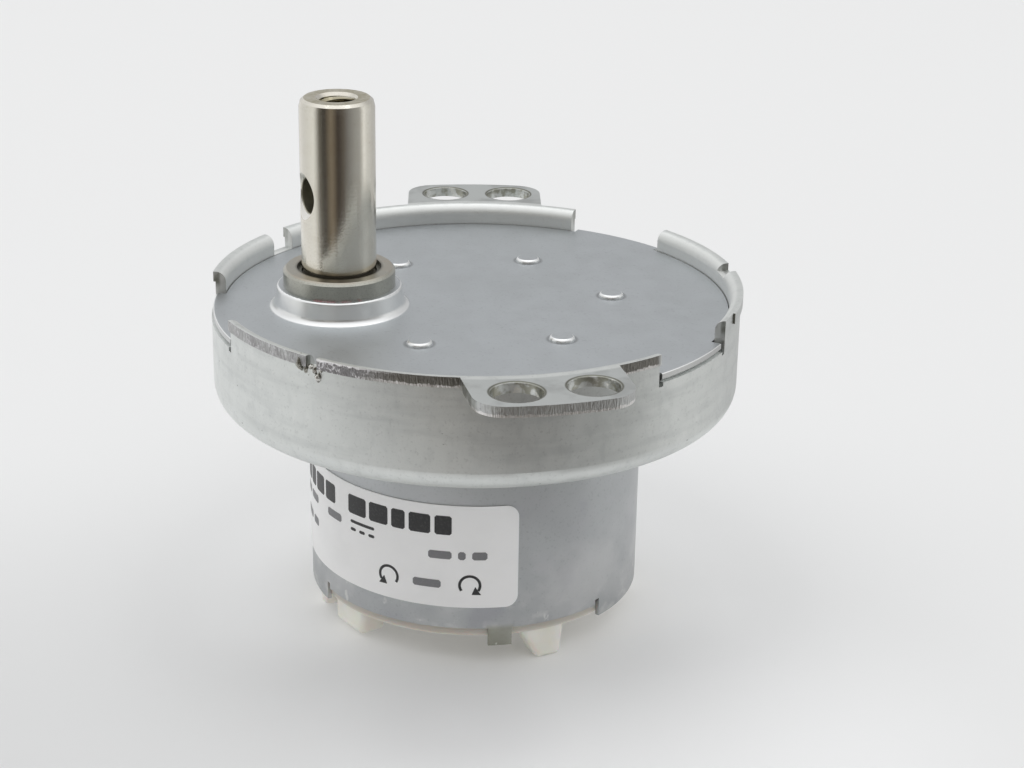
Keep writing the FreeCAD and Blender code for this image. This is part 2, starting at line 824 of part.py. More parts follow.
plate = new_body("cover_plate")
disc = new_sketch(plate, "plate_bottom")
circle(disc, "plate_r")
pad(plate, disc, "plate_sheet")
tab_spans = [(start + TAB_END_CLEARANCE, end - TAB_END_CLEARANCE) for start, end in RIM_GAPS]
add_sectors(plate, tab_spans, "tab_root_r", "tab_r", "plate_bottom", "plate_sheet")
dress(plate, "Chamfer", "tab_under", lambda e: is_circle(e, size("tab_r"), size("plate_bottom")))
dress(plate, "Fillet", "tab_edge_round", lambda e: is_circle(e, size("tab_r"), size("plate_top")))
seats = new_sketch(plate, "plate_top")
for azimuth in AXLE_AZIMUTHS:
    at = polar(size("gear_orbit"), azimuth)
    circle(seats, "seat_r", at.x, round(at.y, 9))
pad(plate, seats, "seat_rise")
seat_tops = size("plate_top") + size("seat_rise")
dress(plate, "Fillet", "seat_round", lambda e: is_ring(e, size("seat_r"), seat_tops))
collar = plate.newObject("PartDesign::AdditiveCone", "cover_plate_collar")
collar.setExpression("Radius1", "Dims.collar_foot_r")
collar.setExpression("Radius2", "Dims.collar_head_r")
collar.setExpression("Height", "Dims.collar_rise")
collar.Placement = FreeCAD.Placement(
    V(-size("gear_orbit"), 0, size("plate_top")), FreeCAD.Rotation()
)
plate.Tip = collar
dress(
    plate,
    "Fillet",
    "collar_foot_round",
    lambda e: is_circle(e, size("collar_foot_r"), size("plate_top"), -size("gear_orbit")),
)
collar_top = size("plate_top") + size("collar_rise")
dress(
    plate,
    "Fillet",
    "collar_head_round",
    lambda e: is_circle(e, size("collar_head_r"), collar_top, -size("gear_orbit")),
)
bush_hole = new_sketch(plate, collar_top)
circle(bush_hole, "bush_r", "-gear_orbit", 0.0)
pocket(plate, bush_hole, collar_top - size("plate_bottom"))
seat_pockets = new_sketch(plate, size("plate_bottom") + size("seat_depth"))
for azimuth in AXLE_AZIMUTHS:
    at = polar(size("gear_orbit"), azimuth)
    circle(seat_pockets, "axle_bore_r", at.x, round(at.y, 9))
pocket(plate, seat_pockets, "seat_depth")

# ---- motor -------------------------------------------------------------------------------------------

motor_can = new_body("motor_can")
revolve(
    motor_can,
    [
        ("bearing_r", "motor_roof"),
        ("motor_inner_r", "motor_roof"),
        ("motor_inner_r", "motor_edge"),
        ("motor_r", "motor_edge"),
        ("motor_r", "motor_top"),
        ("motor_boss_r", "motor_top"),
        ("motor_boss_r", "motor_boss_top"),
        ("bearing_r", "motor_boss_top"),
    ],
)
dress(motor_can, "Fillet", "motor_corner", lambda e: is_circle(e, size("motor_r"), size("motor_top")))
dress(
    motor_can,
    "Fillet",
    "motor_inner_corner",
    lambda e: is_circle(e, size("motor_inner_r"), size("motor_roof")),
)
for crimps, drop in ((WIDE_CRIMPS, "crimp_drop"), (NARROW_CRIMPS, "narrow_crimp_drop")):
    crimp_low = size("motor_edge") - size(drop)
    add_sectors(motor_can, crimps, "cap_flange_r", "motor_r", crimp_low, drop)
notches = [(end, end + CRIMP_NOTCH) for _, end in WIDE_CRIMPS]
notches += [(start - CRIMP_NOTCH, start) for start, _ in WIDE_CRIMPS]
cut_sectors(
    motor_can,
    notches,
    "crimp_notch_inner_r",
    "crimp_notch_outer_r",
    "crimp_notch_top",
    "crimp_notch_low",
)
screw_holes = new_sketch(motor_can, "motor_top")
circle(screw_holes, "screw_r", 0.0, "screw_orbit")
circle(screw_holes, "screw_r", 0.0, "-screw_orbit")
pocket(motor_can, screw_holes, "motor_sheet")

turned(
    "motor_front_bearing",
    [
        ("bearing_bore_r", "front_bearing_low"),
        ("bearing_r", "front_bearing_low"),
        ("bearing_r", "front_bearing_top"),
        ("bearing_cone_r", "front_bearing_top"),
        ("bearing_bore_r", "front_bearing_cone"),
    ],
)
turned(
    "motor_rear_bearing",
    [
        ("bearing_bore_r", "rear_bearing_low"),
        ("rear_bearing_r", "rear_bearing_low"),
        ("rear_bearing_r", "rear_bearing_top"),
        ("bearing_cone_r", "rear_bearing_top"),
        ("bearing_bore_r", "rear_bearing_cone"),
    ],
)
turned(
    "motor_shaft",
    [
        (0.0, "motor_shaft_bottom"),
        ("motor_shaft_nose_r", "motor_shaft_bottom"),
        ("motor_shaft_r", "motor_shaft_nose_low"),
        ("motor_shaft_r", "motor_shaft_nose_high"),
        ("motor_shaft_nose_r", "motor_shaft_top"),
        (0.0, "motor_shaft_top"),
    ],
)


def sector_part(label, spans, inner, outer, low, length):
    """Ring sectors of one height, one solid each."""
    body = new_body(label)
    body.AllowCompound = True
    add_sectors(body, spans, inner, outer, low, length)
    return body


for label, middle in MAGNET_MIDDLES.items():
    magnet = sector_part(
        label,
        [(middle - MAGNET_HALF, middle + MAGNET_HALF)],
        "magnet_inner_r",
        "magnet_outer_r",
        "magnet_bottom",
        "magnet_length",
    )
    dress(magnet, "Chamfer", "magnet_chamfer", stands)
sector_part(
    "magnet_springs", SPRING_SPANS, "spring_inner_r", "spring_outer_r", "spring_bottom", "spring_length"
)
sector_part(
    "commutator_segments",
    [(start + SEGMENT_GAP, start + 120 - SEGMENT_GAP) for start in POLE_AZIMUTHS],
    "commutator_hub_r",
    "commutator_r",
    "commutator_bottom",
    "commutator_length",
)
turned(
    "commutator_hub",
    [
        ("motor_shaft_r", "commutator_hub_low"),
        ("commutator_hub_r", "commutator_hub_low"),
        ("commutator_hub_r", "commutator_hub_high"),
        ("motor_shaft_r", "commutator_hub_high"),
    ],
)

core = new_body("armature_core")
middle = new_sketch(core, "core_bottom")
circle(middle, "core_hub_r")
circle(middle, "motor_shaft_r")
pad(core, middle, "core_length")
pole = new_sketch(core, "core_bottom")
outline(
    pole,
    [
        ("pole_start", "-pole_half"),
        ("pole_end", "-pole_half"),
        ("pole_end", "pole_half"),
        ("pole_start", "pole_half"),
    ],
)
pattern(core, pad(core, pole, "core_length"), pole, len(POLE_AZIMUTHS))
shoe = new_sketch(core, "core_bottom")
ring_sector(shoe, "shoe_inner_r", "core_r", -SHOE_HALF, SHOE_HALF)
pattern(core, pad(core, shoe, "core_length"), shoe, len(POLE_AZIMUTHS))


def coil_box(name, start, length, half, low, tall):
    """A box that reaches out along X, centred in Y."""
    box = doc.addObject("Part::Box", name)
    box.Length, box.Width, box.Height = length, 2 * half, tall
    box.Placement.Base = V(start, -half, low)
    return box


def add_coil(azimuth):
    """The coil of wire around one pole, as a block with a window and round far corners."""
    start, length = size("coil_start"), size("coil_length")
    window_half = size("pole_half") + size("coil_play")
    window_low = size("core_bottom") - size("coil_play")
    window_tall = size("core_length") + 2 * size("coil_play")
    half = window_half + size("coil_side")
    low = window_low - size("coil_end")
    tall = window_tall + 2 * size("coil_end")
    coil = doc.addObject("Part::Cut", "coil")
    coil.Base = coil_box("coil_outer", start, length, half, low, tall)
    coil.Tool = coil_box("coil_window", start - 1, length + 2, window_half, window_low, window_tall)
    doc.recompute()
    rounded = doc.addObject("Part::Fillet", "coil_rounded")
    rounded.Base = coil
    radius = size("coil_round")
    rounded.Edges = [
        (number, radius, radius)
        for number, edge in enumerate(coil.Shape.Edges, start=1)
        if abs(edge.Length - length) < 1e-3 and abs(edge.CenterOfMass.y) > window_half + 1
    ]
    rounded.Placement = FreeCAD.Placement(V(0, 0, 0), FreeCAD.Rotation(V(0, 0, 1), azimuth))
    return rounded


coils = [add_coil(azimuth) for azimuth in POLE_AZIMUTHS]
windings = doc.addObject("Part::Compound", "armature_windings")
windings.Label = "armature_windings"
windings.Links = coils

spacers = []
for low, tall in ROTOR_WASHERS:
    disc = doc.addObject("Part::Cylinder", "spacer_disc")
    hole = doc.addObject("Part::Cylinder", "spacer_hole")
    disc.Radius, hole.Radius = size("rotor_washer_r"), size("motor_shaft_r")
    for solid in (disc, hole):
        solid.Height = tall
        solid.Placement.Base = V(0, 0, low)
    spacer = doc.addObject("Part::Cut", "spacer")
    spacer.Base = disc
    spacer.Tool = hole
    spacers.append(spacer)
rotor_washers = doc.addObject("Part::Compound", "rotor_washers")
rotor_washers.Label = "rotor_washers"
rotor_washers.Links = spacers

screws = []
for side in (-1, 1):
    head = doc.addObject("Part::Cylinder", "screw_head")
    shank = doc.addObject("Part::Cylinder", "screw_shank")
    slot = doc.addObject("Part::Box", "screw_slot")
    head.Radius, shank.Radius = size("screw_head_r"), size("screw_r")
    head.Height = size("screw_head_top") - size("can_floor")
    shank.Height = size("can_floor") - size("screw_bottom")
    slot_long, slot_wide = 2 * size("screw_head_r"), size("screw_slot_wide")
    slot.Length, slot.Width, slot.Height = slot_long, slot_wide, size("screw_slot_deep")
    at = V(0, side * size("screw_orbit"), 0)
    head.Placement.Base = at + V(0, 0, size("can_floor"))
    shank.Placement.Base = at + V(0, 0, size("screw_bottom"))
    slot_floor = size("screw_head_top") - size("screw_slot_deep")
    slot.Placement.Base = at + V(-slot_long / 2, -slot_wide / 2, slot_floor)
    joined = doc.addObject("Part::Fuse", "screw_blank")
    joined.Base = head
    joined.Tool = shank
    screw = doc.addObject("Part::Cut", "screw")
    screw.Base = joined
    screw.Tool = slot
    screws.append(screw)
motor_screws = doc.addObject("Part::Compound", "motor_screws")
motor_screws.Label = "motor_screws"
motor_screws.Links = screws

# ---- end cap, brushes and terminals --------------------------------------------------------------------

cap = new_body("end_cap")
revolve(
    cap,
    [
        (0.0, "cap_boss_low"),
        ("cap_boss_r", "cap_boss_low"),
        ("cap_boss_r", "cap_bottom"),
        ("cap_flange_r", "cap_bottom"),
        ("cap_flange_r", "motor_edge"),
        ("cap_spigot_r", "motor_edge"),
        ("cap_spigot_r", "cap_top"),
        ("cap_well_r", "cap_top"),
        ("cap_well_r", "cap_well_floor"),
        (0.0, "cap_well_floor"),
    ],
)


def add_lug(azimuth, inner, outer, top_side, foot_side, foot="feet"):
    """A lug under the cap, seen from outside: its span at its top and at its foot."""
    sketch = new_sketch(cap, role="XZ_Plane", offset=facing(azimuth, inner))
    outline(
        sketch,
        [
            (top_side[0], "lug_top"),
            (foot_side[0], foot),
            (foot_side[1], foot),
            (top_side[1], "lug_top"),
        ],
    )
    pad(cap, sketch, outer - inner)


for half_turn in (0, 180):
    add_lug(-71 + half_turn, 12.7, 15.3, (-2.6, 2.2), (-0.6, 1.8))
    add_lug(-152 + half_turn, 12.2, 14.9, (-2.2, 3.0), (-2.0, 2.6), "short_feet")
    add_lug(-179 + half_turn, 12.8, 15.2, (-1.8, 1.8), (-1.5, 1.4))


def on_lug(edge):
    """Whether an edge is a straight one that ends on a lug's foot."""
    ends = [vertex.Z for vertex in edge.Vertexes]
    return isinstance(edge.Curve, Part.Line) and min(ends) < size("short_feet") + 1e-3


dress(cap, "Fillet", "lug_round", on_lug)
slots = new_sketch(cap, "cap_top")
for side in (-1, 1):
    near, far = size("slot_near") * side, size("slot_far") * side
    low_side, high_side = size("slot_low_side") * side, size("slot_high_side") * side
    outline(slots, [(far, high_side), (near, high_side), (near, low_side), (far, low_side)])
pocket(cap, slots, "slot_depth")


def half_turned(body, letter):
    if letter == "b":
        body.Placement = FreeCAD.Placement(V(0, 0, 0), FreeCAD.Rotation(V(0, 0, 1), 180))


def box_part(label, letter, corners, low, tall):
    body = new_body(f"{label}_{letter}")
    sketch = new_sketch(body, low)
    outline(sketch, corners)
    pad(body, sketch, tall)
    half_turned(body, letter)
    return body


LEAF = [(-11.0, -4.3), (2.2, -4.3), (2.2, -4.1), (-11.0, -4.1)]
BRUSH = [(-1.1, -4.1), (1.1, -4.1), (1.1, -3.22), (-1.1, -3.22)]
# a terminal's outline, from its tail below the cap to the tongue that its leaf is held by
TERMINAL = [
    (-13.15, -32.4),
    (-12.85, -32.4),
    (-12.85, -27.1),
    (-10.6, -27.1),
    (-10.6, -25.0),
    (-10.9, -25.0),
    (-10.9, -26.8),
    (-13.15, -26.8),
]
for letter in ("a", "b"):
    box_part("brush_leaf", letter, LEAF, "leaf_low", "leaf_tall")
    box_part("brush", letter, BRUSH, "brush_low", "brush_tall")
    terminal = new_body(f"terminal_{letter}")
    beside = FreeCAD.Placement(V(0, 0, size("terminal_side")), FreeCAD.Rotation())
    profile = new_sketch(terminal, role="XZ_Plane", offset=beside)
    outline(profile, TERMINAL)
    pad(terminal, profile, "terminal_wide")
    half_turned(terminal, letter)

label_body = sector_part(
    "rating_label",
    [LABEL_SPAN],
    "motor_r",
    size("motor_r") + size("label_thick"),
    "label_bottom",
    "label_tall",
)
dress(label_body, "Fillet", "label_corner", is_flat_line)

# ---- check and write -----------------------------------------------------------------------------------

NODES = [body.Label for body in doc.findObjects("PartDesign::Body")]
NODES += ["gear_washers", "armature_windings", "rotor_washers", "motor_screws"]

doc.recompute()
for thing in doc.Objects:
    if any(word in thing.State for word in ("Invalid", "Error")):
        raise RuntimeError(f"{thing.Name} did not build: {thing.State}")
for label in NODES:
    node = doc.getObjectsByLabel(label)[0]
    shape = node.Shape
    if shape.isNull() or not shape.isValid() or not shape.Solids:
        raise RuntimeError(f"{label} has no valid solid")
    shape.exportStep(f"parts/{label}.step")
    print(label, len(shape.Solids), round(shape.Volume, 3))
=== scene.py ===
import json
import math
import random

import bmesh
import bpy
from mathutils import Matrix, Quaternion, Vector


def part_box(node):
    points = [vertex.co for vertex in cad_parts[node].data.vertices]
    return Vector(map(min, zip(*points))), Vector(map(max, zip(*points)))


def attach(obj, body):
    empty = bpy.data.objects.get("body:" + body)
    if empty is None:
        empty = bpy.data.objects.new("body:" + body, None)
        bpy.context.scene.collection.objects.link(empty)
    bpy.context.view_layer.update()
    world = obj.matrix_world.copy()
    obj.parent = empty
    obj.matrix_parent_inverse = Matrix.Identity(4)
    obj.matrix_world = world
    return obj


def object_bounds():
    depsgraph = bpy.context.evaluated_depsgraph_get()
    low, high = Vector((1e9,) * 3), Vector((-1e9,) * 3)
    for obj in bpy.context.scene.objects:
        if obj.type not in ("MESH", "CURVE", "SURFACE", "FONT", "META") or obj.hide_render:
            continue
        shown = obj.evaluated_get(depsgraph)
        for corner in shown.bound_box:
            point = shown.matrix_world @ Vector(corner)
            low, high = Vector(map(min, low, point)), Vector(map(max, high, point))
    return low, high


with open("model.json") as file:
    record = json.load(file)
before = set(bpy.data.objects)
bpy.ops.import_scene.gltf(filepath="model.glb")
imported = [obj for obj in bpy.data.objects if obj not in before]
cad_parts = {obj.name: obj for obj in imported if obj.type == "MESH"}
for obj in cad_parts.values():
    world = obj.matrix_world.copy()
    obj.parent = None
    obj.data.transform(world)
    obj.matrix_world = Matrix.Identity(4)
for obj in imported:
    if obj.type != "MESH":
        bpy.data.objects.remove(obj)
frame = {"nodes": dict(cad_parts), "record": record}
cad_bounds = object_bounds()

# Looks of a geared DC motor: zinc-plated gearhead, nickel shaft, label and nylon end cap.
# Lengths in this script are millimetres unless a name says otherwise, in the part's own frame.
MM = 0.001

# ---------------------------------------------------------------- places, read from the frame


def box_mm(node):
    """Lowest and highest corner of a CAD node, in millimetres."""
    low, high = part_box(node)
    return low / MM, high / MM


def mount(name):
    """The record's mount of that name."""
    return next(m for m in frame["record"]["mounts"] if m["name"] == name)


can_low, can_high = box_mm("gearbox_can")
plate_low, plate_high = box_mm("cover_plate")
shaft_low, shaft_high = box_mm("output_shaft")
bush_low, bush_high = box_mm("output_bush")
motor_low, motor_high = box_mm("motor_can")
label_low, label_high = box_mm("rating_label")
feet = cad_bounds[0].z / MM

shaft_axis = Vector(mount("output_shaft")["pos_m"]).to_2d() / MM
shaft_r = mount("output_shaft")["dims"]["r_mm"]
tapped_r = mount("shaft_end_thread")["dims"]["r_mm"]
tapped_deep = mount("shaft_end_thread")["dims"]["length_mm"]
bush_r = (bush_high.y - bush_low.y) / 2
cross_hole = mount("shaft_cross_hole")
cross_place = Vector(cross_hole["pos_m"]) / MM
cross_axis = Vector(cross_hole["axis"])
cross_r = cross_hole["dims"]["r_mm"]
ear_hole_r = mount("ear_holes")["dims"]["hole_r_mm"]
ear_holes = [
    Vector((mount(name)["pos_m"][0] / MM, side * mount(name)["dims"]["spacing_y_mm"] / 2))
    for name in ("ear_holes", "ear_holes_offset")
    for side in (-1, 1)
]
# just inside the can's outer skin, where the paint on its sheared edges starts
UNDER_SKIN = 0.2
under_skin_r = -can_low.x - UNDER_SKIN
axle_boxes = [box_mm(name) for name in frame["nodes"] if name.startswith("gear_axle")]
# the plate's seats are over the gear axles
seats = [((low + high) / 2).to_2d() for low, high in axle_boxes]
motor_r = motor_high.x
label_r = -label_low.x

# what the frame doesn't hold. Azimuths in degrees: the slit in the front lip, the place where the painted
# highlight on that lip's edge passes from its top to its bottom, and the crimp that hangs down at the
# motor's near side
SLIT_AZIMUTH, SHINE_AZIMUTH, TONGUE_AZIMUTH = -131.7, -117.0, -88.0
SEAT_R = 1.2
SHEET = 1.0
CRIMP_TALL = 1.8
motor_edge = motor_low.z + CRIMP_TALL

# ---------------------------------------------------------------- finishes


class Finish:
    """A Principled material, with short calls for the texture nodes that feed it, in millimetres."""

    def __init__(self, name, colour, metallic=0.0, roughness=0.5, **constants):
        self.material = bpy.data.materials.new(name)
        self.material.use_nodes = True
        self.tree = self.material.node_tree
        self.shader = self.tree.nodes["Principled BSDF"]
        for key, value in constants.items():
            self.shader.inputs[key.replace("_", " ")].default_value = value
        self.colour = (*colour, 1.0)
        self.metallic = metallic
        self.roughness = roughness
        self.height = None
        where = self.node("ShaderNodeTexCoord")
        self.normal = where.outputs["Normal"]
        self.place = self.vector("SCALE", where.outputs["Object"], Scale=1 / MM)

    def node(self, kind, **settings):
        made = self.tree.nodes.new(kind)
        for key, value in settings.items():
            setattr(made, key, value)
        return made

    def feed(self, socket, value):
        if isinstance(value, bpy.types.NodeSocket):
            self.tree.links.new(value, socket)
        else:
            socket.default_value = value

    def vector(self, operation, first, second=None, **named):
        made = self.node("ShaderNodeVectorMath", operation=operation)
        self.feed(made.inputs[0], first)
        if second is not None:
            self.feed(made.inputs[1], second)
        for key, value in named.items():
            self.feed(made.inputs[key], value)
        return made.outputs["Value" if operation in ("LENGTH", "DOT_PRODUCT") else "Vector"]

    def math(self, operation, *values):
        made = self.node("ShaderNodeMath", operation=operation)
        for socket, value in zip(made.inputs, values):
            self.feed(socket, value)
        return made.outputs[0]

    def noise(self, per_mm, detail=2.0, stretch=(1, 1, 1), seed=0.0, place=None):
        made = self.node("ShaderNodeTexNoise", noise_dimensions="4D")
        self.feed(made.inputs["Vector"], self.vector("MULTIPLY", place or self.place, stretch))
        made.inputs["W"].default_value = seed
        made.inputs["Scale"].default_value = per_mm
        made.inputs["Detail"].default_value = detail
        return made.outputs["Fac"]

    def cells(self, per_mm, stretch=(1, 1, 1)):
        made = self.node("ShaderNodeTexVoronoi")
        self.feed(made.inputs["Vector"], self.vector("MULTIPLY", self.place, stretch))
        made.inputs["Scale"].default_value = per_mm
        return made.outputs["Distance"]

    def ramp(self, value, start, end, low=0.0, high=1.0):
        made = self.node("ShaderNodeMapRange", interpolation_type="SMOOTHSTEP")
        for key, number in (("From Min", start), ("From Max", end), ("To Min", low), ("To Max", high)):
            made.inputs[key].default_value = number
        self.feed(made.inputs["Value"], value)
        return made.outputs[0]

    def both(self, *shares):
        total = shares[0]
        for share in shares[1:]:
            total = self.math("MULTIPLY", total, share)
        return total

    def along(self, axis):
        return self.vector("DOT_PRODUCT", self.place, [float(i == "xyz".index(axis)) for i in range(3)])

    def out_from(self, centre=(0.0, 0.0)):
        """Distance from an upright axis, in millimetres."""
        flat = self.vector("MULTIPLY", self.vector("SUBTRACT", self.place, (*centre, 0.0)), (1, 1, 0))
        return self.vector("LENGTH", flat)

    def out_from_line(self, place, axis):
        """Distance from a line through a place along a unit axis, in millimetres."""
        reach = self.vector("SUBTRACT", self.place, place)
        return self.vector("LENGTH", self.vector("CROSS_PRODUCT", reach, axis))

    def azimuth(self):
        """Azimuth about the gearbox axis, in degrees from -180 to 180."""
        return self.math("MULTIPLY", self.math("ARCTAN2", self.along("y"), self.along("x")), 180 / math.pi)

    def rise(self):
        """How far the surface faces up or down: 0 for a wall, 1 for a level face."""
        return self.math("ABSOLUTE", self.vector("DOT_PRODUCT", self.normal, (0, 0, 1)))

    def endways(self):
        """1 where the surface faces along the rim, as the cut ends of its lips do."""
        around = self.vector("NORMALIZE", self.vector("CROSS_PRODUCT", (0, 0, 1), self.place))
        return self.ramp(self.math("ABSOLUTE", self.vector("DOT_PRODUCT", self.normal, around)), 0.75, 0.9)

    def upright(self):
        """1 where the surface stands upright, 0 where it lies flat."""
        return self.ramp(self.rise(), 0.35, 0.6, 1.0, 0.0)

    def stain(self, share, colour):
        made = self.node("ShaderNodeMix", data_type="RGBA")
        self.feed(made.inputs["Factor"], share)
        self.feed(made.inputs[6], self.colour)
        self.feed(made.inputs[7], (*colour, 1.0))
        self.colour = made.outputs[2]

    def dull(self, share, roughness):
        made = self.node("ShaderNodeMix", data_type="FLOAT")
        self.feed(made.inputs[0], share)
        self.feed(made.inputs[2], self.roughness)
        self.feed(made.inputs[3], roughness)
        self.roughness = made.outputs[0]

    def matte(self, share):
        """Cover the metal with something that doesn't shine."""
        self.metallic = self.math("MULTIPLY", self.metallic, self.math("SUBTRACT", 1.0, share))

    def glow(self, strength):
        """Fill the shadow a little with light of its own."""
        self.feed(self.shader.inputs["Emission Color"], (1.0, 1.0, 1.0, 1.0))
        self.feed(self.shader.inputs["Emission Strength"], strength)

    def lift(self, height):
        self.height = height if self.height is None else self.math("ADD", self.height, height)

    def done(self):
        self.feed(self.shader.inputs["Base Color"], self.colour)
        self.feed(self.shader.inputs["Metallic"], self.metallic)
        self.feed(self.shader.inputs["Roughness"], self.roughness)
        if self.height is not None:
            bump = self.node("ShaderNodeBump")
            bump.inputs["Distance"].default_value = MM
            self.feed(bump.inputs["Height"], self.height)
            self.feed(self.shader.inputs["Normal"], bump.outputs["Normal"])
        return self.material


def add_satin(finish, shade, grain_high=0.0018):
    """Plated sheet: clouds, fine grain, sparse pits and faint handling marks."""
    clouds = finish.noise(0.11, detail=5)
    finish.stain(finish.ramp(clouds, 0.42, 0.7, 0.0, 0.5), shade)
    speckle = finish.noise(4.2, detail=3, seed=3)
    finish.stain(finish.ramp(speckle, 0.55, 0.72, 0.0, 0.35), tuple(0.72 * c for c in shade))
    finish.dull(finish.ramp(finish.noise(0.4, detail=4, seed=5), 0.35, 0.65, 0.0, 0.5), 0.5)
    finish.lift(finish.ramp(finish.noise(7.0, detail=2, seed=7), 0.3, 0.7, 0.0, grain_high))


def sheared_edges(finish):
    """1 on the sheared edges of the can's ears and front lips, except in the holes."""
    azimuth = finish.azimuth()
    on_lip = finish.both(
        finish.ramp(azimuth, -159.5, -158.5),
        finish.ramp(azimuth, -58.5, -57.0, 1.0, 0.0),
    )
    on_ear = finish.ramp(finish.out_from(), under_skin_r + 0.5, under_skin_r + 0.7)
    share = finish.both(
        finish.upright(),
        finish.ramp(finish.along("z"), -SHEET - 0.06, -SHEET),
        finish.ramp(finish.out_from(), under_skin_r + 0.04, under_skin_r + 0.08),
        finish.math("MAXIMUM", on_lip, on_ear),
    )
    for hole in ear_holes:
        share = finish.both(share, finish.ramp(finish.out_from(hole), ear_hole_r + 0.05, ear_hole_r + 0.2))
    return share


def can_steel():
    """Zinc-plated drawn sheet, with dark smeared metal on its sheared upper edges, bright flecks and pale
    lines painted on those edges as highlights, and painted shade and highlight round and inside the ear
    holes.
    """
    finish = Finish("zinc_can", (0.70, 0.72, 0.708), metallic=1.0, roughness=0.42)
    add_satin(finish, (0.64, 0.658, 0.65))
    draw_lines = finish.noise(3.0, detail=3, stretch=(1, 1, 0.04), seed=11)
    finish.lift(finish.ramp(draw_lines, 0.3, 0.7, 0.0, 0.0015))
    clouds = finish.noise(0.3, detail=4, seed=21)
    bands = finish.noise(0.9, detail=3, stretch=(0.12, 0.12, 1), seed=12)
    finish.stain(finish.both(finish.upright(), finish.ramp(bands, 0.45, 0.7, 0.0, 0.25)), (0.42, 0.44, 0.44))
    mottle = finish.noise(0.9, detail=6, stretch=(1, 1, 0.7), seed=10)
    finish.stain(finish.ramp(mottle, 0.5, 0.72, 0.0, 0.25), (0.46, 0.48, 0.48))
    finish.stain(finish.ramp(mottle, 0.28, 0.46, 0.25, 0.0), (0.82, 0.83, 0.82))
    pits = finish.cells(0.3, stretch=(1, 1, 1.6))
    finish.stain(finish.ramp(pits, 0.02, 0.045, 0.6, 0.0), (0.12, 0.12, 0.12))
    edge = sheared_edges(finish)
    smears = finish.noise(0.9, detail=6, stretch=(1, 1, 0.5), seed=13)
    on_lip = finish.ramp(finish.out_from(), under_skin_r + 0.7, under_skin_r + 0.5)
    toward_ear = finish.ramp(finish.azimuth(), SHINE_AZIMUTH - 6, SHINE_AZIMUTH + 6)
    past_slit = finish.ramp(finish.azimuth(), SLIT_AZIMUTH - 3, SLIT_AZIMUTH + 3)
    smeared = finish.both(edge, finish.ramp(smears, 0.3, 0.7, 0.85, 0.4))
    smeared = finish.both(smeared, finish.math("MULTIPLY_ADD", on_lip, 0.5, 0.5))
    finish.stain(smeared, (0.36, 0.35, 0.36))
    finish.stain(finish.both(edge, on_lip, past_slit, 0.65), (0.2, 0.19, 0.2))
    finish.stain(finish.both(edge, on_lip, toward_ear, 0.6), (0.2, 0.19, 0.15))
    tears = finish.noise(8.0, detail=3, stretch=(1, 1, 0.2), seed=14)
    finish.stain(finish.both(edge, finish.ramp(tears, 0.4, 0.6, 0.12, 0.0)), (0.13, 0.125, 0.12))
    finish.stain(finish.both(edge, on_lip, finish.ramp(tears, 0.4, 0.6, 0.3, 0.0)), (0.13, 0.125, 0.12))
    # bright flecks on the lip's sheared edge, most of them past the slit: painted glints
    glint_flecks = finish.both(
        finish.ramp(finish.noise(4.5, detail=4, stretch=(1, 1, 0.9), seed=19), 0.5, 0.62, 0.0, 0.8),
        finish.ramp(finish.noise(0.7, detail=3, seed=23), 0.38, 0.55),
        on_lip,
        finish.math("SUBTRACT", 1.0, toward_ear),
        finish.math("MULTIPLY_ADD", past_slit, 0.6, 0.4),
    )
    finish.stain(finish.both(edge, glint_flecks), (0.9, 0.89, 0.92))
    height = finish.along("z")
    wander = finish.math("MULTIPLY", finish.noise(2.5, detail=4, seed=15), 0.6)
    # a pale line along the top of the lip's edge before the ear, and one along its bottom toward the ear:
    # painted highlights
    top_glint = finish.both(edge, finish.ramp(finish.math("ADD", height, wander), 0.12, 0.2))
    before_ear = finish.math("SUBTRACT", 1.0, toward_ear)
    finish.stain(finish.both(top_glint, past_slit, before_ear), (0.97, 0.96, 0.97))
    low_glint = finish.both(edge, finish.ramp(finish.math("SUBTRACT", height, wander), -1.02, -1.12))
    finish.stain(finish.both(low_glint, toward_ear, 0.8), (0.85, 0.83, 0.82))
    finish.dull(finish.both(edge, 0.7), 0.32)
    finish.lift(finish.both(edge, finish.ramp(tears, 0.3, 0.7, 0.0, 0.03)))
    cut_end = finish.both(
        finish.endways(),
        finish.ramp(finish.out_from(), plate_high.y - 0.4, plate_high.y),
        finish.ramp(height, plate_high.z - 2.0, plate_high.z - 1.0),
    )
    finish.stain(finish.both(cut_end, finish.ramp(smears, 0.35, 0.6, 0.9, 0.4)), (0.13, 0.13, 0.1))
    on_ear_top = finish.both(
        finish.ramp(finish.rise(), 0.8, 0.95),
        finish.ramp(finish.out_from(), under_skin_r + 0.6, under_skin_r + 1.0),
    )
    finish.stain(finish.both(on_ear_top, 0.9), (0.53, 0.55, 0.545))
    finish.stain(finish.both(on_ear_top, finish.ramp(clouds, 0.45, 0.65, 0.0, 0.6)), (0.36, 0.37, 0.365))
    in_mouth = finish.both(
        finish.ramp(finish.out_from(), under_skin_r - 0.35, under_skin_r - 0.1, 1.0, 0.0),
        finish.ramp(height, plate_high.z - 3.0, plate_high.z - 2.2),
    )
    finish.stain(finish.both(in_mouth, 0.6), (0.8, 0.81, 0.8))
    finish.dull(finish.both(in_mouth, 0.8), 0.6)
    hole_shade_and_glint = finish.noise(1.2, detail=4, seed=20)
    for hole in ear_holes:
        reach = finish.out_from(hole)
        # dark ring just outside each ear hole: painted shade where the hole's edge would turn away from the
        # light
        rolled = finish.both(
            finish.ramp(reach, ear_hole_r + 0.3, ear_hole_r + 0.16, 0.0, 0.9),
            finish.ramp(reach, ear_hole_r, ear_hole_r + 0.1),
        )
        finish.stain(rolled, (0.13, 0.13, 0.1))
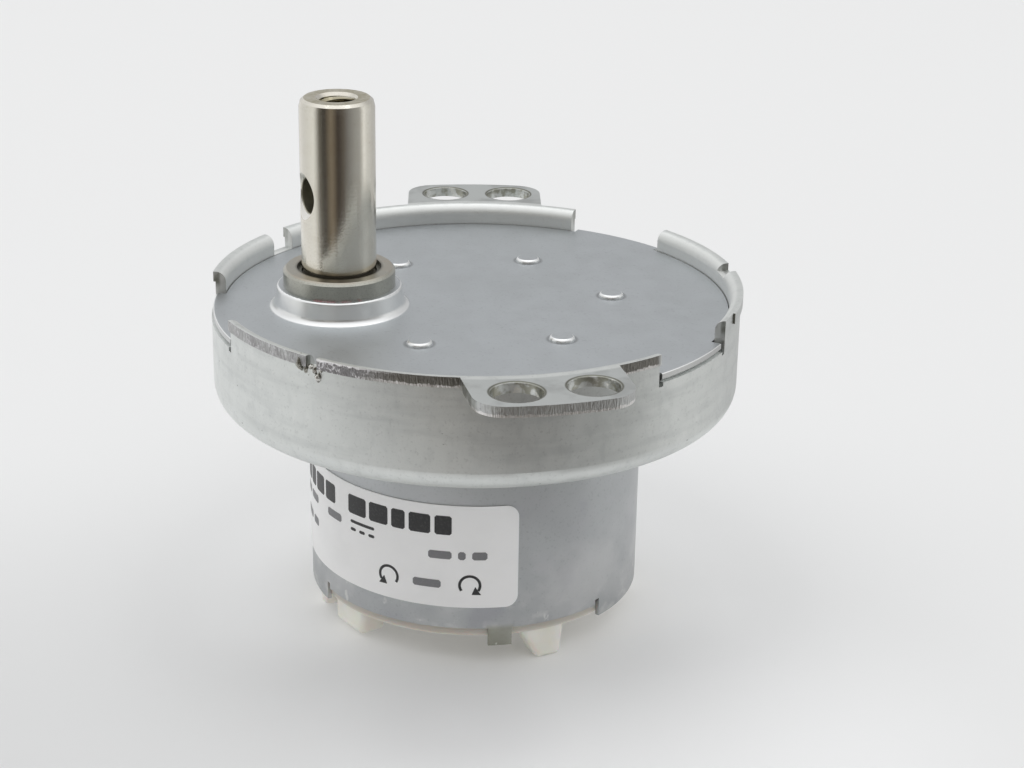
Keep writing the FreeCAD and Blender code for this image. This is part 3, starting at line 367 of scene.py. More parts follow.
        # dark olive and pale patches on the hole's wall: painted shade and painted highlight
        wall = finish.ramp(reach, ear_hole_r + 0.08, ear_hole_r + 0.02)
        finish.stain(finish.both(wall, finish.ramp(hole_shade_and_glint, 0.45, 0.6, 0.0, 0.7)), (0.25, 0.24, 0.17))
        finish.stain(finish.both(wall, finish.ramp(hole_shade_and_glint, 0.3, 0.45, 0.7, 0.0)), (0.88, 0.87, 0.82))
    return finish.done()


def plate_steel():
    """The cover plate: the same zinc, cooler in tone and flatter, burnished where it was pressed up with a
    painted sheen there, and painted shade round its seats and along its upright edge.
    """
    finish = Finish("zinc_plate", (0.505, 0.53, 0.55), metallic=1.0, roughness=0.41)
    add_satin(finish, (0.47, 0.495, 0.51), grain_high=0.0012)
    # sloped faces where it was pressed up: lower roughness for the burnish, and a lighter colour as a
    # painted sheen
    pressed = finish.ramp(finish.rise(), 0.9, 0.985, 1.0, 0.0)
    finish.stain(finish.both(pressed, 0.85), (0.92, 0.93, 0.93))
    finish.dull(pressed, 0.31)
    for seat in seats:
        reach = finish.out_from(seat)
        outside = finish.ramp(reach, SEAT_R, SEAT_R + 0.05)
        # dark ring round each seat: painted shade at its foot
        ring = finish.both(outside, finish.ramp(reach, SEAT_R + 0.1, SEAT_R + 0.4, 1.0, 0.0))
        finish.stain(finish.both(ring, 0.6), (0.2, 0.21, 0.215))
    # darker upright edge face round the plate: painted shade
    joint = finish.ramp(finish.out_from(), plate_high.y - 1.1, plate_high.y - 0.9)
    finish.stain(finish.both(joint, finish.upright(), 0.5), (0.2, 0.2, 0.19))
    return finish.done()


def motor_steel():
    """The motor's can: zinc with drawing marks and purplish clouds, rubbed near its crimped edge."""
    finish = Finish("zinc_motor", (0.455, 0.47, 0.478), metallic=1.0, roughness=0.42)
    add_satin(finish, (0.4, 0.405, 0.424))
    clouds = finish.noise(0.2, detail=5, seed=16)
    finish.stain(finish.ramp(clouds, 0.5, 0.7, 0.0, 0.5), (0.5, 0.5, 0.52))
    low_band = finish.ramp(finish.along("z"), motor_low.z + 6.0, motor_low.z + 1.0)
    rubs = finish.noise(0.45, detail=6, stretch=(1, 1, 1.8), seed=17)
    finish.stain(finish.both(low_band, finish.ramp(rubs, 0.5, 0.68, 0.0, 0.7)), (0.68, 0.68, 0.67))
    on_tongue = finish.both(
        finish.ramp(finish.along("z"), motor_edge - 0.2, motor_edge + 0.5, 1.0, 0.0),
        finish.ramp(finish.azimuth(), TONGUE_AZIMUTH - 5.5, TONGUE_AZIMUTH - 4),
        finish.ramp(finish.azimuth(), TONGUE_AZIMUTH + 4, TONGUE_AZIMUTH + 5.5, 1.0, 0.0),
    )
    finish.stain(finish.both(on_tongue, 0.85), (0.3, 0.3, 0.24))
    bloom = finish.noise(0.16, detail=4, seed=22)
    middle_band = finish.ramp(finish.along("z"), motor_edge + 11, motor_edge + 4)
    finish.stain(finish.both(middle_band, finish.ramp(bloom, 0.4, 0.65, 0.0, 0.45)), (0.66, 0.66, 0.66))
    finish.stain(finish.ramp(bloom, 0.32, 0.42, 0.4, 0.0), (0.36, 0.355, 0.4))
    scuffs = finish.noise(1.4, detail=4, stretch=(1, 1, 0.5), seed=18)
    finish.stain(finish.both(low_band, finish.ramp(scuffs, 0.66, 0.72, 0.0, 0.6)), (0.82, 0.82, 0.8))
    return finish.done()


def shaft_nickel():
    """Polished nickel, faintly warm, with fine dust-size pits; duller on its end and in its cross hole, with
    painted shade in its holes and where it goes into the bush, and a painted highlight on the low side of
    the cross hole's bevel.
    """
    finish = Finish("nickel_shaft", (0.72, 0.695, 0.625), metallic=1.0, roughness=0.165)
    finish.stain(finish.ramp(finish.noise(0.6, detail=4), 0.4, 0.7, 0.0, 0.4), (0.66, 0.62, 0.54))
    specks = finish.noise(6.0, detail=3, seed=2)
    finish.dull(finish.ramp(specks, 0.55, 0.7, 0.0, 0.45), 0.3)
    finish.stain(finish.ramp(specks, 0.6, 0.7, 0.0, 0.35), (0.42, 0.38, 0.3))
    finish.lift(finish.ramp(specks, 0.35, 0.7, 0.0, 0.0014))
    base = finish.ramp(finish.along("z"), bush_high.z + 1.6, bush_high.z, 0.0, 0.55)
    finish.stain(base, (0.5, 0.45, 0.34))
    rings = finish.noise(4.0, stretch=(0, 0, 1), seed=4)
    finish.lift(finish.ramp(rings, 0.3, 0.7, 0.0, 0.0006))
    on_end = finish.both(
        finish.ramp(finish.rise(), 0.85, 0.97),
        finish.ramp(finish.along("z"), shaft_high.z - 0.3, shaft_high.z - 0.1),
    )
    mottle = finish.noise(1.8, detail=5, seed=8)
    finish.stain(finish.both(on_end, finish.ramp(mottle, 0.35, 0.65, 0.95, 0.45)), (0.4, 0.365, 0.25))
    finish.dull(finish.both(on_end, 0.9), 0.36)
    # darker inside the tapped hole: painted shade
    tapped = finish.both(
        finish.ramp(finish.out_from(shaft_axis), tapped_r + 0.12, tapped_r + 0.06),
        finish.ramp(finish.along("z"), shaft_high.z - 0.2, shaft_high.z - 0.5),
    )
    finish.stain(finish.both(tapped, 0.85), (0.3, 0.27, 0.17))
    # dark olive inside the cross hole: painted shade
    in_hole = finish.both(
        finish.ramp(finish.out_from_line(cross_place, cross_axis), cross_r + 0.03, cross_r + 0.1, 1.0, 0.0),
        finish.ramp(finish.out_from(shaft_axis), shaft_r - 0.12, shaft_r - 0.04, 1.0, 0.0),
    )
    finish.stain(finish.both(in_hole, 0.9), (0.31, 0.3, 0.23))
    finish.dull(in_hole, 0.45)
    from_hole = finish.out_from_line(cross_place, cross_axis)
    on_bevel = finish.both(
        finish.ramp(from_hole, cross_r + 0.06, cross_r + 0.14),
        finish.ramp(from_hole, cross_r + 0.75, cross_r + 0.65),
        finish.ramp(finish.out_from(shaft_axis), shaft_r - 0.02, shaft_r - 0.06),
    )
    finish.stain(finish.both(on_bevel, 0.7), (0.55, 0.545, 0.5))
    finish.dull(on_bevel, 0.35)
    # the bevel round the cross hole is greyed and duller; its low side is painted near white and matte as a
    # highlight
    lit_low_side = finish.ramp(finish.along("z"), cross_place.z + 0.5 * cross_r, cross_place.z - 0.1 * cross_r)
    finish.stain(finish.both(on_bevel, lit_low_side), (0.95, 0.94, 0.9))
    finish.matte(finish.both(on_bevel, lit_low_side, 0.9))
    # near black and matte where the shaft goes down into the bush: painted shade
    sunk = finish.ramp(finish.along("z"), bush_high.z + 0.1, bush_high.z - 0.15)
    finish.stain(finish.both(sunk, 0.95), (0.09, 0.08, 0.055))
    finish.matte(finish.both(sunk, 0.9))
    finish.dull(sunk, 0.7)
    return finish.done()


def bush_iron():
    """Sintered iron: open-grained, oily and dark, rubbed tan on its rim, with painted shade in the dish
    round the shaft.
    """
    finish = Finish("sintered_bush", (0.44, 0.44, 0.395), metallic=1.0, roughness=0.29)
    pores = finish.noise(8.0, detail=3)
    finish.stain(finish.ramp(pores, 0.5, 0.65, 0.0, 0.4), (0.26, 0.25, 0.22))
    finish.lift(finish.ramp(pores, 0.45, 0.7, 0.002, 0.0))
    on_top = finish.ramp(finish.along("z"), bush_high.z - 0.2, bush_high.z - 0.05)
    rubbed = finish.noise(0.5, detail=4, seed=3)
    finish.stain(finish.both(on_top, finish.ramp(rubbed, 0.35, 0.65, 0.3, 0.9)), (0.44, 0.39, 0.32))
    # near black round the shaft: painted shade in the dish
    shade_by_shaft = finish.ramp(finish.out_from(shaft_axis), shaft_r + 0.3, shaft_r + 0.75, 1.0, 0.0)
    finish.stain(finish.both(shade_by_shaft, 0.92), (0.06, 0.055, 0.035))
    return finish.done()


def turned_metal(name, colour, roughness, shade):
    """Bar stock and stampings inside the gearhead: a fine tool grain and an oil film."""
    finish = Finish(name, colour, metallic=1.0, roughness=roughness)
    finish.stain(finish.ramp(finish.noise(0.9, detail=4), 0.4, 0.65, 0.0, 0.6), shade)
    finish.lift(finish.ramp(finish.noise(12.0, detail=2, stretch=(1, 1, 3), seed=6), 0.3, 0.7, 0.0, 0.002))
    return finish.done()


def moulded_plastic(name, colour, shade, roughness=0.42, **constants):
    """Moulded plastic with a soft tone change and a spark-eroded skin."""
    finish = Finish(name, colour, roughness=roughness, **constants)
    finish.stain(finish.ramp(finish.noise(0.35, detail=3), 0.4, 0.65, 0.0, 0.7), shade)
    finish.lift(finish.ramp(finish.noise(9.0, detail=2), 0.3, 0.7, 0.0, 0.003))
    return finish.done()


def pressed_powder(name, colour, shade, metallic=0.0, roughness=0.6):
    """Sintered or pressed grain: ferrite magnets and carbon brushes."""
    finish = Finish(name, colour, metallic=metallic, roughness=roughness)
    grain = finish.noise(6.0, detail=4)
    finish.stain(finish.ramp(grain, 0.45, 0.65), shade)
    finish.lift(finish.ramp(grain, 0.4, 0.7, 0.0, 0.01))
    return finish.done()


def stacked_laminations():
    """The armature core: 0.5 mm laminations seen as lines."""
    finish = Finish("laminated_core", (0.33, 0.32, 0.31), metallic=1.0, roughness=0.42)
    wave = finish.math("SINE", finish.math("MULTIPLY", finish.along("z"), 2 * math.pi / 0.5))
    finish.stain(finish.ramp(wave, 0.6, 1.0, 0.0, 0.8), (0.08, 0.07, 0.065))
    finish.lift(finish.ramp(wave, 0.6, 1.0, 0.015, 0.0))
    finish.stain(finish.ramp(finish.noise(0.7, detail=4), 0.5, 0.7, 0.0, 0.5), (0.24, 0.15, 0.09))
    return finish.done()


def enamelled_wire():
    """Wound copper wire under red-brown enamel, as turns 0.3 mm apart."""
    finish = Finish("enamelled_wire", (0.55, 0.2, 0.075), metallic=0.9, roughness=0.28, Coat_Weight=0.6)
    wobble = finish.math("MULTIPLY", finish.noise(0.8), 0.25)
    turns = finish.math("ADD", finish.out_from(), wobble)
    wave = finish.math("SINE", finish.math("MULTIPLY", turns, 2 * math.pi / 0.3))
    finish.stain(finish.ramp(wave, -1.0, 0.2, 0.8, 0.0), (0.2, 0.05, 0.015))
    finish.lift(finish.ramp(wave, -1.0, 1.0, 0.0, 0.05))
    return finish.done()


def cap_nylon():
    """Natural nylon: cream, waxy and a little translucent, with painted shade on its flange under the motor
    can's edge.
    """
    finish = Finish(
        "natural_nylon", (0.95, 0.935, 0.88), roughness=0.38, Subsurface_Weight=0.3, Subsurface_Scale=0.0015,
    )
    finish.stain(finish.ramp(finish.noise(0.3, detail=3), 0.4, 0.65, 0.0, 0.4), (0.84, 0.81, 0.68))
    # the flange under the motor can's edge is darker: painted shade
    flange_shade = finish.ramp(finish.along("z"), feet + 3.0, feet + 3.6)
    finish.stain(finish.both(flange_shade, 0.75), (0.45, 0.43, 0.38))
    finish.lift(finish.ramp(finish.noise(5.0, detail=2), 0.3, 0.7, 0.0, 0.004))
    return finish.done()


def label_paper():
    """Glossy white film with slight unevenness from the adhesive below."""
    finish = Finish("label_film", (0.97, 0.97, 0.975), roughness=0.3, Coat_Weight=0.3, Coat_Roughness=0.12)
    finish.stain(finish.ramp(finish.noise(0.25, detail=3), 0.45, 0.7, 0.0, 0.3), (0.84, 0.845, 0.85))
    finish.lift(finish.ramp(finish.noise(0.8, detail=2), 0.3, 0.7, 0.0, 0.006))
    return finish.done()


def print_ink(name, tone):
    """Ink of one grey tone, thinner in places."""
    finish = Finish(name, (tone, tone, 1.05 * tone), roughness=0.42)
    thin = tone + 0.05
    finish.stain(finish.ramp(finish.noise(5.0, detail=3), 0.5, 0.7, 0.0, 0.5), (thin, thin, thin))
    return finish.done()


def torn_metal():
    """Torn zinc and steel: dark in its hollows, bright on its crests, darker left of the slit."""
    finish = Finish("torn_zinc", (0.74, 0.73, 0.7), metallic=1.0, roughness=0.25)
    clots = finish.noise(3.0, detail=5)
    finish.stain(finish.ramp(clots, 0.4, 0.56, 0.85, 0.0), (0.12, 0.115, 0.09))
    lump = finish.ramp(finish.azimuth(), SLIT_AZIMUTH - 1, SLIT_AZIMUTH + 0.5, 0.7, 0.0)
    finish.stain(lump, (0.2, 0.195, 0.16))
    finish.lift(finish.ramp(clots, 0.3, 0.7, 0.0, 0.06))
    return finish.done()


def red_lacquer():
    """A thin pinkish-red mark of thread lacquer."""
    finish = Finish("red_lacquer", (0.6, 0.3, 0.32), roughness=0.35, Alpha=0.55)
    finish.stain(finish.ramp(finish.noise(2.2, detail=4), 0.4, 0.6), (0.62, 0.5, 0.5))
    return finish.done()


FINISHES = {
    "can_steel": can_steel(),
    "plate_steel": plate_steel(),
    "motor_steel": motor_steel(),
    "shaft_nickel": shaft_nickel(),
    "bush_iron": bush_iron(),
    "gear_steel": turned_metal("gear_steel_oiled", (0.46, 0.46, 0.45), 0.32, (0.3, 0.29, 0.27)),
    "gear_brass": turned_metal("gear_brass_cut", (0.72, 0.53, 0.24), 0.27, (0.55, 0.37, 0.15)),
    "pin_steel": turned_metal("pin_steel_ground", (0.6, 0.6, 0.6), 0.2, (0.44, 0.43, 0.42)),
    "bearing_bronze": turned_metal("bearing_bronze_oiled", (0.5, 0.33, 0.17), 0.4, (0.33, 0.21, 0.11)),
    "screw_steel": turned_metal("screw_zinc", (0.55, 0.56, 0.56), 0.3, (0.42, 0.42, 0.4)),
    "magnet_ferrite": pressed_powder("ferrite", (0.06, 0.06, 0.064), (0.035, 0.035, 0.038)),
    "spring_steel": turned_metal("spring_steel_blued", (0.35, 0.36, 0.38), 0.25, (0.22, 0.23, 0.27)),
    "core_steel": stacked_laminations(),
    "winding_copper": enamelled_wire(),
    "hub_plastic": moulded_plastic("hub_phenolic", (0.17, 0.07, 0.035), (0.1, 0.045, 0.025)),
    "segment_copper": turned_metal("segment_copper_worn", (0.74, 0.4, 0.25), 0.3, (0.4, 0.19, 0.11)),
    "cap_nylon": cap_nylon(),
    "brush_carbon": pressed_powder("brush_graphite", (0.07, 0.068, 0.066), (0.12, 0.11, 0.1), 0.4, 0.45),
    "leaf_bronze": turned_metal("leaf_bronze_rolled", (0.66, 0.46, 0.25), 0.28, (0.5, 0.33, 0.17)),
    "terminal_tin": turned_metal("terminal_tin_dipped", (0.68, 0.68, 0.66), 0.24, (0.52, 0.52, 0.5)),
    "label_paper": label_paper(),
}


def dress_frame():
    """Gives every CAD node the finish of its slot."""
    for node in frame["nodes"].values():
        slot = node.material_slots[0]
        name = slot.material.name
        slot.link = "OBJECT"
        slot.material = FINISHES[name]


# ---------------------------------------------------------------- added pieces


def add_piece(name, mesh, finish, body):
    """Makes an object of a bmesh in millimetres and lets it ride on a CAD body."""
    bmesh.ops.scale(mesh, vec=(MM, MM, MM), verts=mesh.verts)
    bmesh.ops.recalc_face_normals(mesh, faces=mesh.faces)
    data = bpy.data.meshes.new(name)
    mesh.to_mesh(data)
    mesh.free()
    data.materials.append(finish)
    piece = bpy.data.objects.new(name, data)
    bpy.context.scene.collection.objects.link(piece)
    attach(piece, body)
    return piece


def loft(mesh, rings, closed=False):
    """Joins rings of points into one skin, capped at its ends unless it is closed on itself."""
    rows = [[mesh.verts.new(point) for point in ring] for ring in rings]
    pairs = list(zip(rows, rows[1:]))
    if closed:
        pairs.append((rows[-1], rows[0]))
    for low, high in pairs:
        for i in range(len(low)):
            j = (i + 1) % len(low)
            mesh.faces.new((low[i], low[j], high[j], high[i]))
    if not closed:
        mesh.faces.new(rows[0])
        mesh.faces.new(rows[-1])


def smooth(piece, angle=35):
    """Smooth shading with edges kept where faces meet at more than an angle in degrees."""
    piece.data.shade_smooth()
    piece.data.set_sharp_from_angle(angle=math.radians(angle))


def shaft_thread():
    """The female thread in the shaft's end, as a ridge wound down the tapped hole."""
    pitch, depth, steps = 0.7, 0.26, 40
    top = shaft_high.z - 0.45
    turns = (tapped_deep - 0.6) / pitch
    count = int(turns * steps)
    rings = []
    for i in range(count + 1):
        angle = 2 * math.pi * i / steps
        z = top - pitch * i / steps
        fade = min(1.0, i / 12, (count - i) / 12)
        outward = Vector((math.cos(angle), math.sin(angle), 0))
        centre = Vector((*shaft_axis, z))
        crest = tapped_r - depth * max(fade, 0.02)
        root = tapped_r + 0.05
        half = pitch * 0.42
        rings.append([
            centre + outward * root + Vector((0, 0, half)),
            centre + outward * crest + Vector((0, 0, 0.05)),
            centre + outward * crest - Vector((0, 0, 0.05)),
            centre + outward * root - Vector((0, 0, half)),
        ])
    mesh = bmesh.new()
    loft(mesh, rings)
    smooth(add_piece("shaft_end_thread", mesh, FINISHES["shaft_nickel"], "output"))


# label print: u runs left along the label from its right-hand edge, v down from its top edge

LABEL_EDGE_AZIMUTH = math.radians(-82.2)
INK_THICK = 0.015
TITLE_V, TITLE_TALL, TITLE_GAP = 2.0, 1.9, 0.4
LINE_TALL = 0.8
# start and end along the label, then the distance below its top edge
LABEL_LINES = (
    (2.9, 4.3, 5.0), (4.9, 5.6, 5.0), (6.2, 8.4, 5.0), (18.4, 20.8, 4.1),
    (23.2, 25.4, 4.1), (26.0, 27.7, 4.1), (23.2, 24.7, 6.5), (25.3, 27.7, 6.5), (7.2, 9.9, 8.0),
)


def on_label(u, v, lift):
    """A point above the label's face, by how far along it and down it."""
    azimuth = LABEL_EDGE_AZIMUTH - u / label_r
    out = label_r + lift
    return Vector((out * math.cos(azimuth), out * math.sin(azimuth), label_high.z - v))


def ink_stroke(mesh, line, widths):
    """One printed stroke: a thin slab that follows a line of (u, v) points with a width at each."""
    rings = []
    for i, (u, v) in enumerate(line):
        before, after = Vector(line[max(i - 1, 0)]), Vector(line[min(i + 1, len(line) - 1)])
        side = (after - before).orthogonal().normalized() * widths[i] / 2
        near, far = Vector((u, v)) + side, Vector((u, v)) - side
        rings.append([
            on_label(*near, INK_THICK), on_label(*far, INK_THICK),
            on_label(*far, -0.01), on_label(*near, -0.01),
        ])
    loft(mesh, rings)


def ink_bar(mesh, start, end, v, tall):
    """A bar with eased corners, from one u to another."""
    ease = min(0.18, tall / 3)
    count = max(2, round((end - start - 2 * ease) / 0.5))
    line = [(start, v), (start + ease, v)]
    line += [(start + ease + (end - start - 2 * ease) * i / count, v) for i in range(1, count + 1)]
    line += [(end, v)]
    widths = [tall - 2 * ease] + [tall] * (len(line) - 2) + [tall - 2 * ease]
    ink_stroke(mesh, line, widths)


def ink_arrow(mesh, u, v, radius, turn):
    """A turning arrow: most of a circle with a head, one way round or the other."""
    steps, sweep, thick = 20, math.radians(250), 0.26
    angles = [math.radians(90) + turn * (sweep * i / steps - sweep / 2) for i in range(steps + 1)]
    line = [(u + radius * math.cos(a), v - radius * math.sin(a)) for a in angles]
    ink_stroke(mesh, line, [thick] * len(line))
    tip = angles[-1] + turn * 0.75
    head = [line[-1], (u + radius * math.cos(tip), v - radius * math.sin(tip))]
    ink_stroke(mesh, head, [1.0, 0.05])


def title_marks():
    """Bold blocks where the label has its title."""
    mesh = bmesh.new()
    for first, widths in ((6.2, (1.6, 2.1, 1.4, 2.1, 2.3)), (19.4, (1.8, 1.9, 1.4, 1.8))):
        start = first
        for wide in widths:
            ink_bar(mesh, start, start + wide, TITLE_V, TITLE_TALL)
            start += wide + TITLE_GAP
    return mesh


def small_marks():
    """A direct-current symbol and an arrow for either way of turning."""
    mesh = bmesh.new()
    ink_bar(mesh, 14.0, 17.0, 3.75, 0.3)
    for i in range(3):
        ink_bar(mesh, 14.0 + 1.15 * i, 14.7 + 1.15 * i, 4.55, 0.3)
    ink_arrow(mesh, 4.5, 8.0, 0.95, 1)
    ink_arrow(mesh, 12.4, 8.0, 0.95, -1)
    return mesh


def greeked_lines():
    """Pale bars as tall as small print, word by word."""
    mesh = bmesh.new()
    for start, end, v in LABEL_LINES:
        ink_bar(mesh, start, end, v, LINE_TALL)
    return mesh


def label_print():
    """Generic marks where a rating label has its print."""
    bold = print_ink("label_ink_bold", 0.022)
    pale = print_ink("label_ink_pale", 0.2)
    add_piece("label_title", title_marks(), bold, "housing")
    add_piece("label_symbols", small_marks(), bold, "housing")
    add_piece("label_lines", greeked_lines(), pale, "housing")


def ring_bead(mesh, centre, radius, z, span, thick, flat, seed):
    """An uneven bead along an arc: span in degrees, thick and flat its half sizes outward and upward."""
    draw = random.Random(seed)
    sides, step = 8, 0.12
    start, end = (math.radians(a) for a in span)
    count = max(6, int(abs(end - start) * radius / step))
    rings = []
    for i in range(count + 1):
        angle = start + (end - start) * i / count
        taper = math.sqrt(max(0.02, min(1.0, i / 4, (count - i) / 4)))
        size = taper * draw.uniform(0.55, 1.0)
        outward = Vector((math.cos(angle), math.sin(angle), 0))
        middle = Vector((*centre, z)) + outward * (radius + draw.uniform(-0.3, 0.3) * thick)
        rings.append([
            middle
            + outward * thick * size * math.cos(2 * math.pi * k / sides)
            + Vector((0, 0, flat * size * math.sin(2 * math.pi * k / sides)))
            for k in range(sides)
        ])
    loft(mesh, rings)


def lacquer_smear():
    """Sealing lacquer in the joint between the bush and the collar, on the near side."""
    mesh = bmesh.new()
    for seed, span in enumerate(((-122, -96), (-94, -80), (-76, -70))):
        ring_bead(mesh, shaft_axis, bush_r + 0.16, plate_high.z - 0.02, span, 0.2, 0.08, seed)
    smooth(add_piece("lacquer_smear", mesh, red_lacquer(), "housing"))


def torn_crumb(mesh, azimuth, z, size, stretch, seed):
    """A lump of torn metal half sunk in the can's wall: a ball pulled long and dented at random."""
    draw = random.Random(seed)
    angle = math.radians(azimuth)
    out = under_skin_r + 0.12
    middle = Vector((out * math.cos(angle), out * math.sin(angle), z))
    made = bmesh.ops.create_icosphere(mesh, subdivisions=3, radius=size)
    dents = []
    for _ in range(14):
        direction = Vector([draw.gauss(0, 1) for _ in range(3)]).normalized()
        dents.append((direction, draw.uniform(0.5, 1.0) * size))
    for vertex in made["verts"]:
        point = vertex.co.copy()
        for direction, depth in dents:
            over = point.dot(direction) - depth
            if over > 0:
                point -= direction * over * 0.8
        point.z *= stretch
        vertex.co = middle + point


# degrees past the front slit, height, size and stretch of each lump of torn metal beside it
CRUMBS = (
    (-2.6, -0.85, 0.5, 1.75), (-1.0, -1.3, 0.3, 1.5), (0.0, -1.0, 0.32, 0.8), (1.1, -1.2, 0.3, 1.2),
    (1.9, -1.75, 0.46, 1.6), (2.6, -0.95, 0.3, 1.4), (0.4, -1.6, 0.12, 2.4), (-0.5, -1.75, 0.1, 2.2),
)


def slit_burrs():
    """Torn metal at the ends of the front slit, and the burr that hangs below it."""
    mesh = bmesh.new()
    for seed, (past, z, size, stretch) in enumerate(CRUMBS):
        torn_crumb(mesh, SLIT_AZIMUTH + past, z, size, stretch, seed)
    smooth(add_piece("slit_burrs", mesh, torn_metal(), "housing"), 60)


# ---------------------------------------------------------------- floor, light and camera

CAMERA_PLACE = Vector((-23.68, -195.65, 67.98))
CAMERA_AZIMUTH, CAMERA_ELEVATION, CAMERA_ROLL = -7.92, 21.73, 0.93
CAMERA_LENS = 77.2
FLOOR_R = 3000
MIRRORED_R, MIRRORED_CENTRE = 95, (-40, 20)
# how the light tent looks from the motor: degrees to the right of the camera, and the tone there
TENT_PANELS = (
    (-180, (0.54, 0.54, 0.54)), (-145, (0.9, 0.9, 0.9)), (-118, (0.8, 0.8, 0.8)),
    (-100, (0.8, 0.8, 0.79)), (-70, (0.92, 0.92, 0.9)), (-52, (0.14, 0.13, 0.11)),
    (-34, (0.045, 0.04, 0.035)), (-14, (0.24, 0.2, 0.15)), (6, (0.05, 0.04, 0.035)),
    (24, (0.13, 0.115, 0.1)), (40, (0.24, 0.235, 0.23)), (60, (0.36, 0.36, 0.35)),
    (78, (0.44, 0.44, 0.43)), (92, (1.02, 1.02, 1.01)), (104, (0.78, 0.78, 0.77)),
    (135, (0.6, 0.6, 0.6)), (180, (0.54, 0.54, 0.54)),
)
# the roof of the tent comes lower over the camera than it does behind the motor
ROOF_TONE, ROOF_LEAN = 1.13, 0.12


def add_disc(name, radius, centre, height, finish):
    """A flat round sheet of paper under the motor."""
    mesh = bmesh.new()
    bmesh.ops.create_circle(mesh, cap_ends=True, segments=128, radius=radius * MM)
    bmesh.ops.translate(mesh, vec=Vector((*centre, height)) * MM, verts=mesh.verts)
    data = bpy.data.meshes.new(name)
    mesh.to_mesh(data)
    mesh.free()
    data.materials.append(finish)
    disc = bpy.data.objects.new(name, data)
    bpy.context.scene.collection.objects.link(disc)
    return disc


def floor_paper():
    """Pale paper with painted light and shade: greyer on the left and toward the near side, a painted pool
    of light in front and right, a painted shadow in front of the motor, and a painted glow beside it.
    """
    finish = Finish("floor_paper", (0.86, 0.865, 0.87), roughness=0.7, Specular_IOR_Level=0.1)
    # painted shade, greyer to the left
    left_shade = finish.out_from((-85, -60))
    finish.stain(finish.ramp(left_shade, 20, 110, 0.65, 0.0), (0.6, 0.605, 0.61))
    # painted shade toward the near side
    finish.stain(finish.ramp(finish.along("y"), -25, -80, 0.0, 0.1), (0.68, 0.685, 0.7))
    # a painted pool of light in front and right
    light_pool = finish.out_from((14, -31))
    finish.stain(finish.ramp(light_pool, 36, 10, 0.0, 0.7), (0.985, 0.99, 1.0))
    # a painted shadow in front of the motor
    front_shadow = finish.out_from((-0.3 * motor_r, -1.6 * motor_r))
    finish.stain(finish.ramp(front_shadow, 0.8 * motor_r, 0.2 * motor_r, 0.0, 0.25), (0.6, 0.6, 0.61))
    # a painted glow beside the motor: the floor gives light of its own there
    beside = finish.both(
        finish.ramp(finish.out_from(), 2.1 * motor_r, motor_r, 0.0, 0.13),
        finish.ramp(finish.along("y"), -1.2 * motor_r, -0.3 * motor_r),
    )
    finish.glow(beside)
    return finish.done()


def add_floor():
    """A pale floor with painted light and shade. The metal mirrors only a smaller sheet of it, which ends
    short of the camera.
    """
    floor = add_disc("floor", FLOOR_R, (0, 0), feet, floor_paper())
    floor.visible_glossy = False
    floor.visible_shadow = False
    paper = Finish("mirrored_paper", (0.95, 0.955, 0.96), roughness=0.7, Specular_IOR_Level=0.1).done()
    mirrored = add_disc("floor_mirrored", MIRRORED_R, MIRRORED_CENTRE, feet + 0.2, paper)
    mirrored.visible_camera = False
    mirrored.visible_diffuse = False
    mirrored.visible_transmission = False
    mirrored.visible_shadow = False


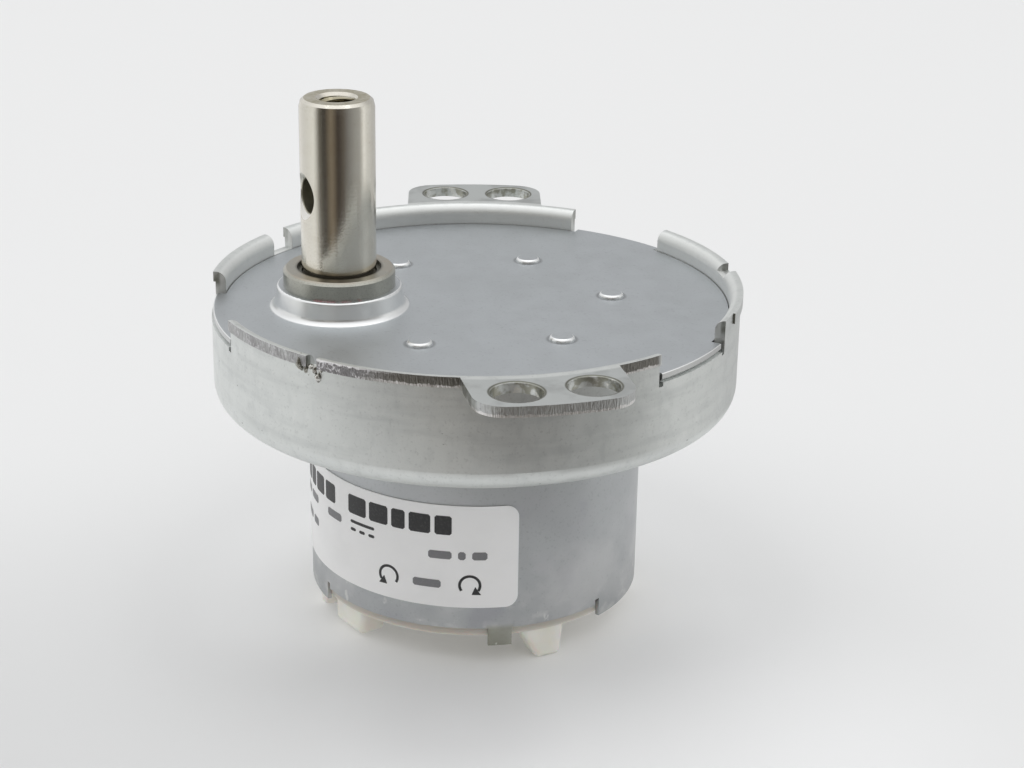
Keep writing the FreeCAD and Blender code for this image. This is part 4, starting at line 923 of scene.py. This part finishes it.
def add_world():
    """A light tent: white behind, beside and above, darker on the near side where the opening is."""
    world = bpy.data.worlds.new("light_tent")
    world.use_nodes = True
    tree = world.node_tree
    background = tree.nodes["Background"]
    bpy.context.scene.world = world
    link = tree.links.new

    def node(kind, **settings):
        made = tree.nodes.new(kind)
        for key, value in settings.items():
            setattr(made, key, value)
        return made

    def dot(direction):
        made = node("ShaderNodeVectorMath", operation="DOT_PRODUCT")
        link(where.outputs["Generated"], made.inputs[0])
        made.inputs[1].default_value = direction
        return made.outputs["Value"]

    where = node("ShaderNodeTexCoord")
    azimuth = math.radians(CAMERA_AZIMUTH)
    toward = dot((math.sin(azimuth), -math.cos(azimuth), 0))
    rightward = dot((math.cos(azimuth), math.sin(azimuth), 0))
    around = node("ShaderNodeMath", operation="ARCTAN2")
    link(rightward, around.inputs[0])
    link(toward, around.inputs[1])
    share = node("ShaderNodeMapRange")
    share.inputs["From Min"].default_value = -math.pi
    share.inputs["From Max"].default_value = math.pi
    link(around.outputs[0], share.inputs["Value"])
    panels = node("ShaderNodeValToRGB")
    link(share.outputs[0], panels.inputs[0])
    for degrees, tone in TENT_PANELS[1:-1]:
        stop = panels.color_ramp.elements.new(degrees / 360 + 0.5)
        stop.color = (*tone, 1.0)
    panels.color_ramp.elements[0].color = (*TENT_PANELS[0][1], 1.0)
    panels.color_ramp.elements[-1].color = (*TENT_PANELS[-1][1], 1.0)
    upward = node("ShaderNodeMapRange", interpolation_type="SMOOTHSTEP")
    upward.inputs["From Min"].default_value = 0.4
    upward.inputs["From Max"].default_value = 0.9
    height = dot((ROOF_LEAN * math.sin(azimuth), -ROOF_LEAN * math.cos(azimuth), 1))
    link(height, upward.inputs["Value"])
    blend = node("ShaderNodeMix", data_type="RGBA")
    link(upward.outputs[0], blend.inputs["Factor"])
    link(panels.outputs[0], blend.inputs[6])
    blend.inputs[7].default_value = (ROOF_TONE, ROOF_TONE, ROOF_TONE, 1.0)
    link(blend.outputs[2], background.inputs["Color"])
    background.inputs["Strength"].default_value = 1.0


def add_softbox(name, place, size, power):
    """A square area light that faces the origin."""
    light = bpy.data.lights.new(name, "AREA")
    light.size = size * MM
    light.energy = power
    lamp = bpy.data.objects.new(name, light)
    lamp.location = Vector(place) * MM
    lamp.rotation_euler = (-lamp.location).to_track_quat("-Z", "Y").to_euler()
    bpy.context.scene.collection.objects.link(lamp)


def add_camera():
    """The camera, at the distance and angle that the perspective was solved for."""
    camera = bpy.data.cameras.new("camera")
    camera.lens = CAMERA_LENS
    camera.clip_start, camera.clip_end = 0.005, 10.0
    holder = bpy.data.objects.new("camera", camera)
    azimuth, elevation = math.radians(CAMERA_AZIMUTH), math.radians(CAMERA_ELEVATION)
    level = Vector((-math.sin(azimuth), math.cos(azimuth), 0))
    ahead = level * math.cos(elevation) - Vector((0, 0, math.sin(elevation)))
    holder.rotation_mode = "QUATERNION"
    roll = Quaternion((0, 0, 1), math.radians(CAMERA_ROLL))
    holder.rotation_quaternion = ahead.to_track_quat("-Z", "Y") @ roll
    holder.location = CAMERA_PLACE * MM
    bpy.context.scene.collection.objects.link(holder)
    bpy.context.scene.camera = holder


dress_frame()
shaft_thread()
label_print()
lacquer_smear()
slit_burrs()
add_floor()
add_world()
add_softbox("overhead_softbox", (20, 220, 600), 440, 0.45)
add_camera()
bpy.context.scene.view_settings.view_transform = "Standard"
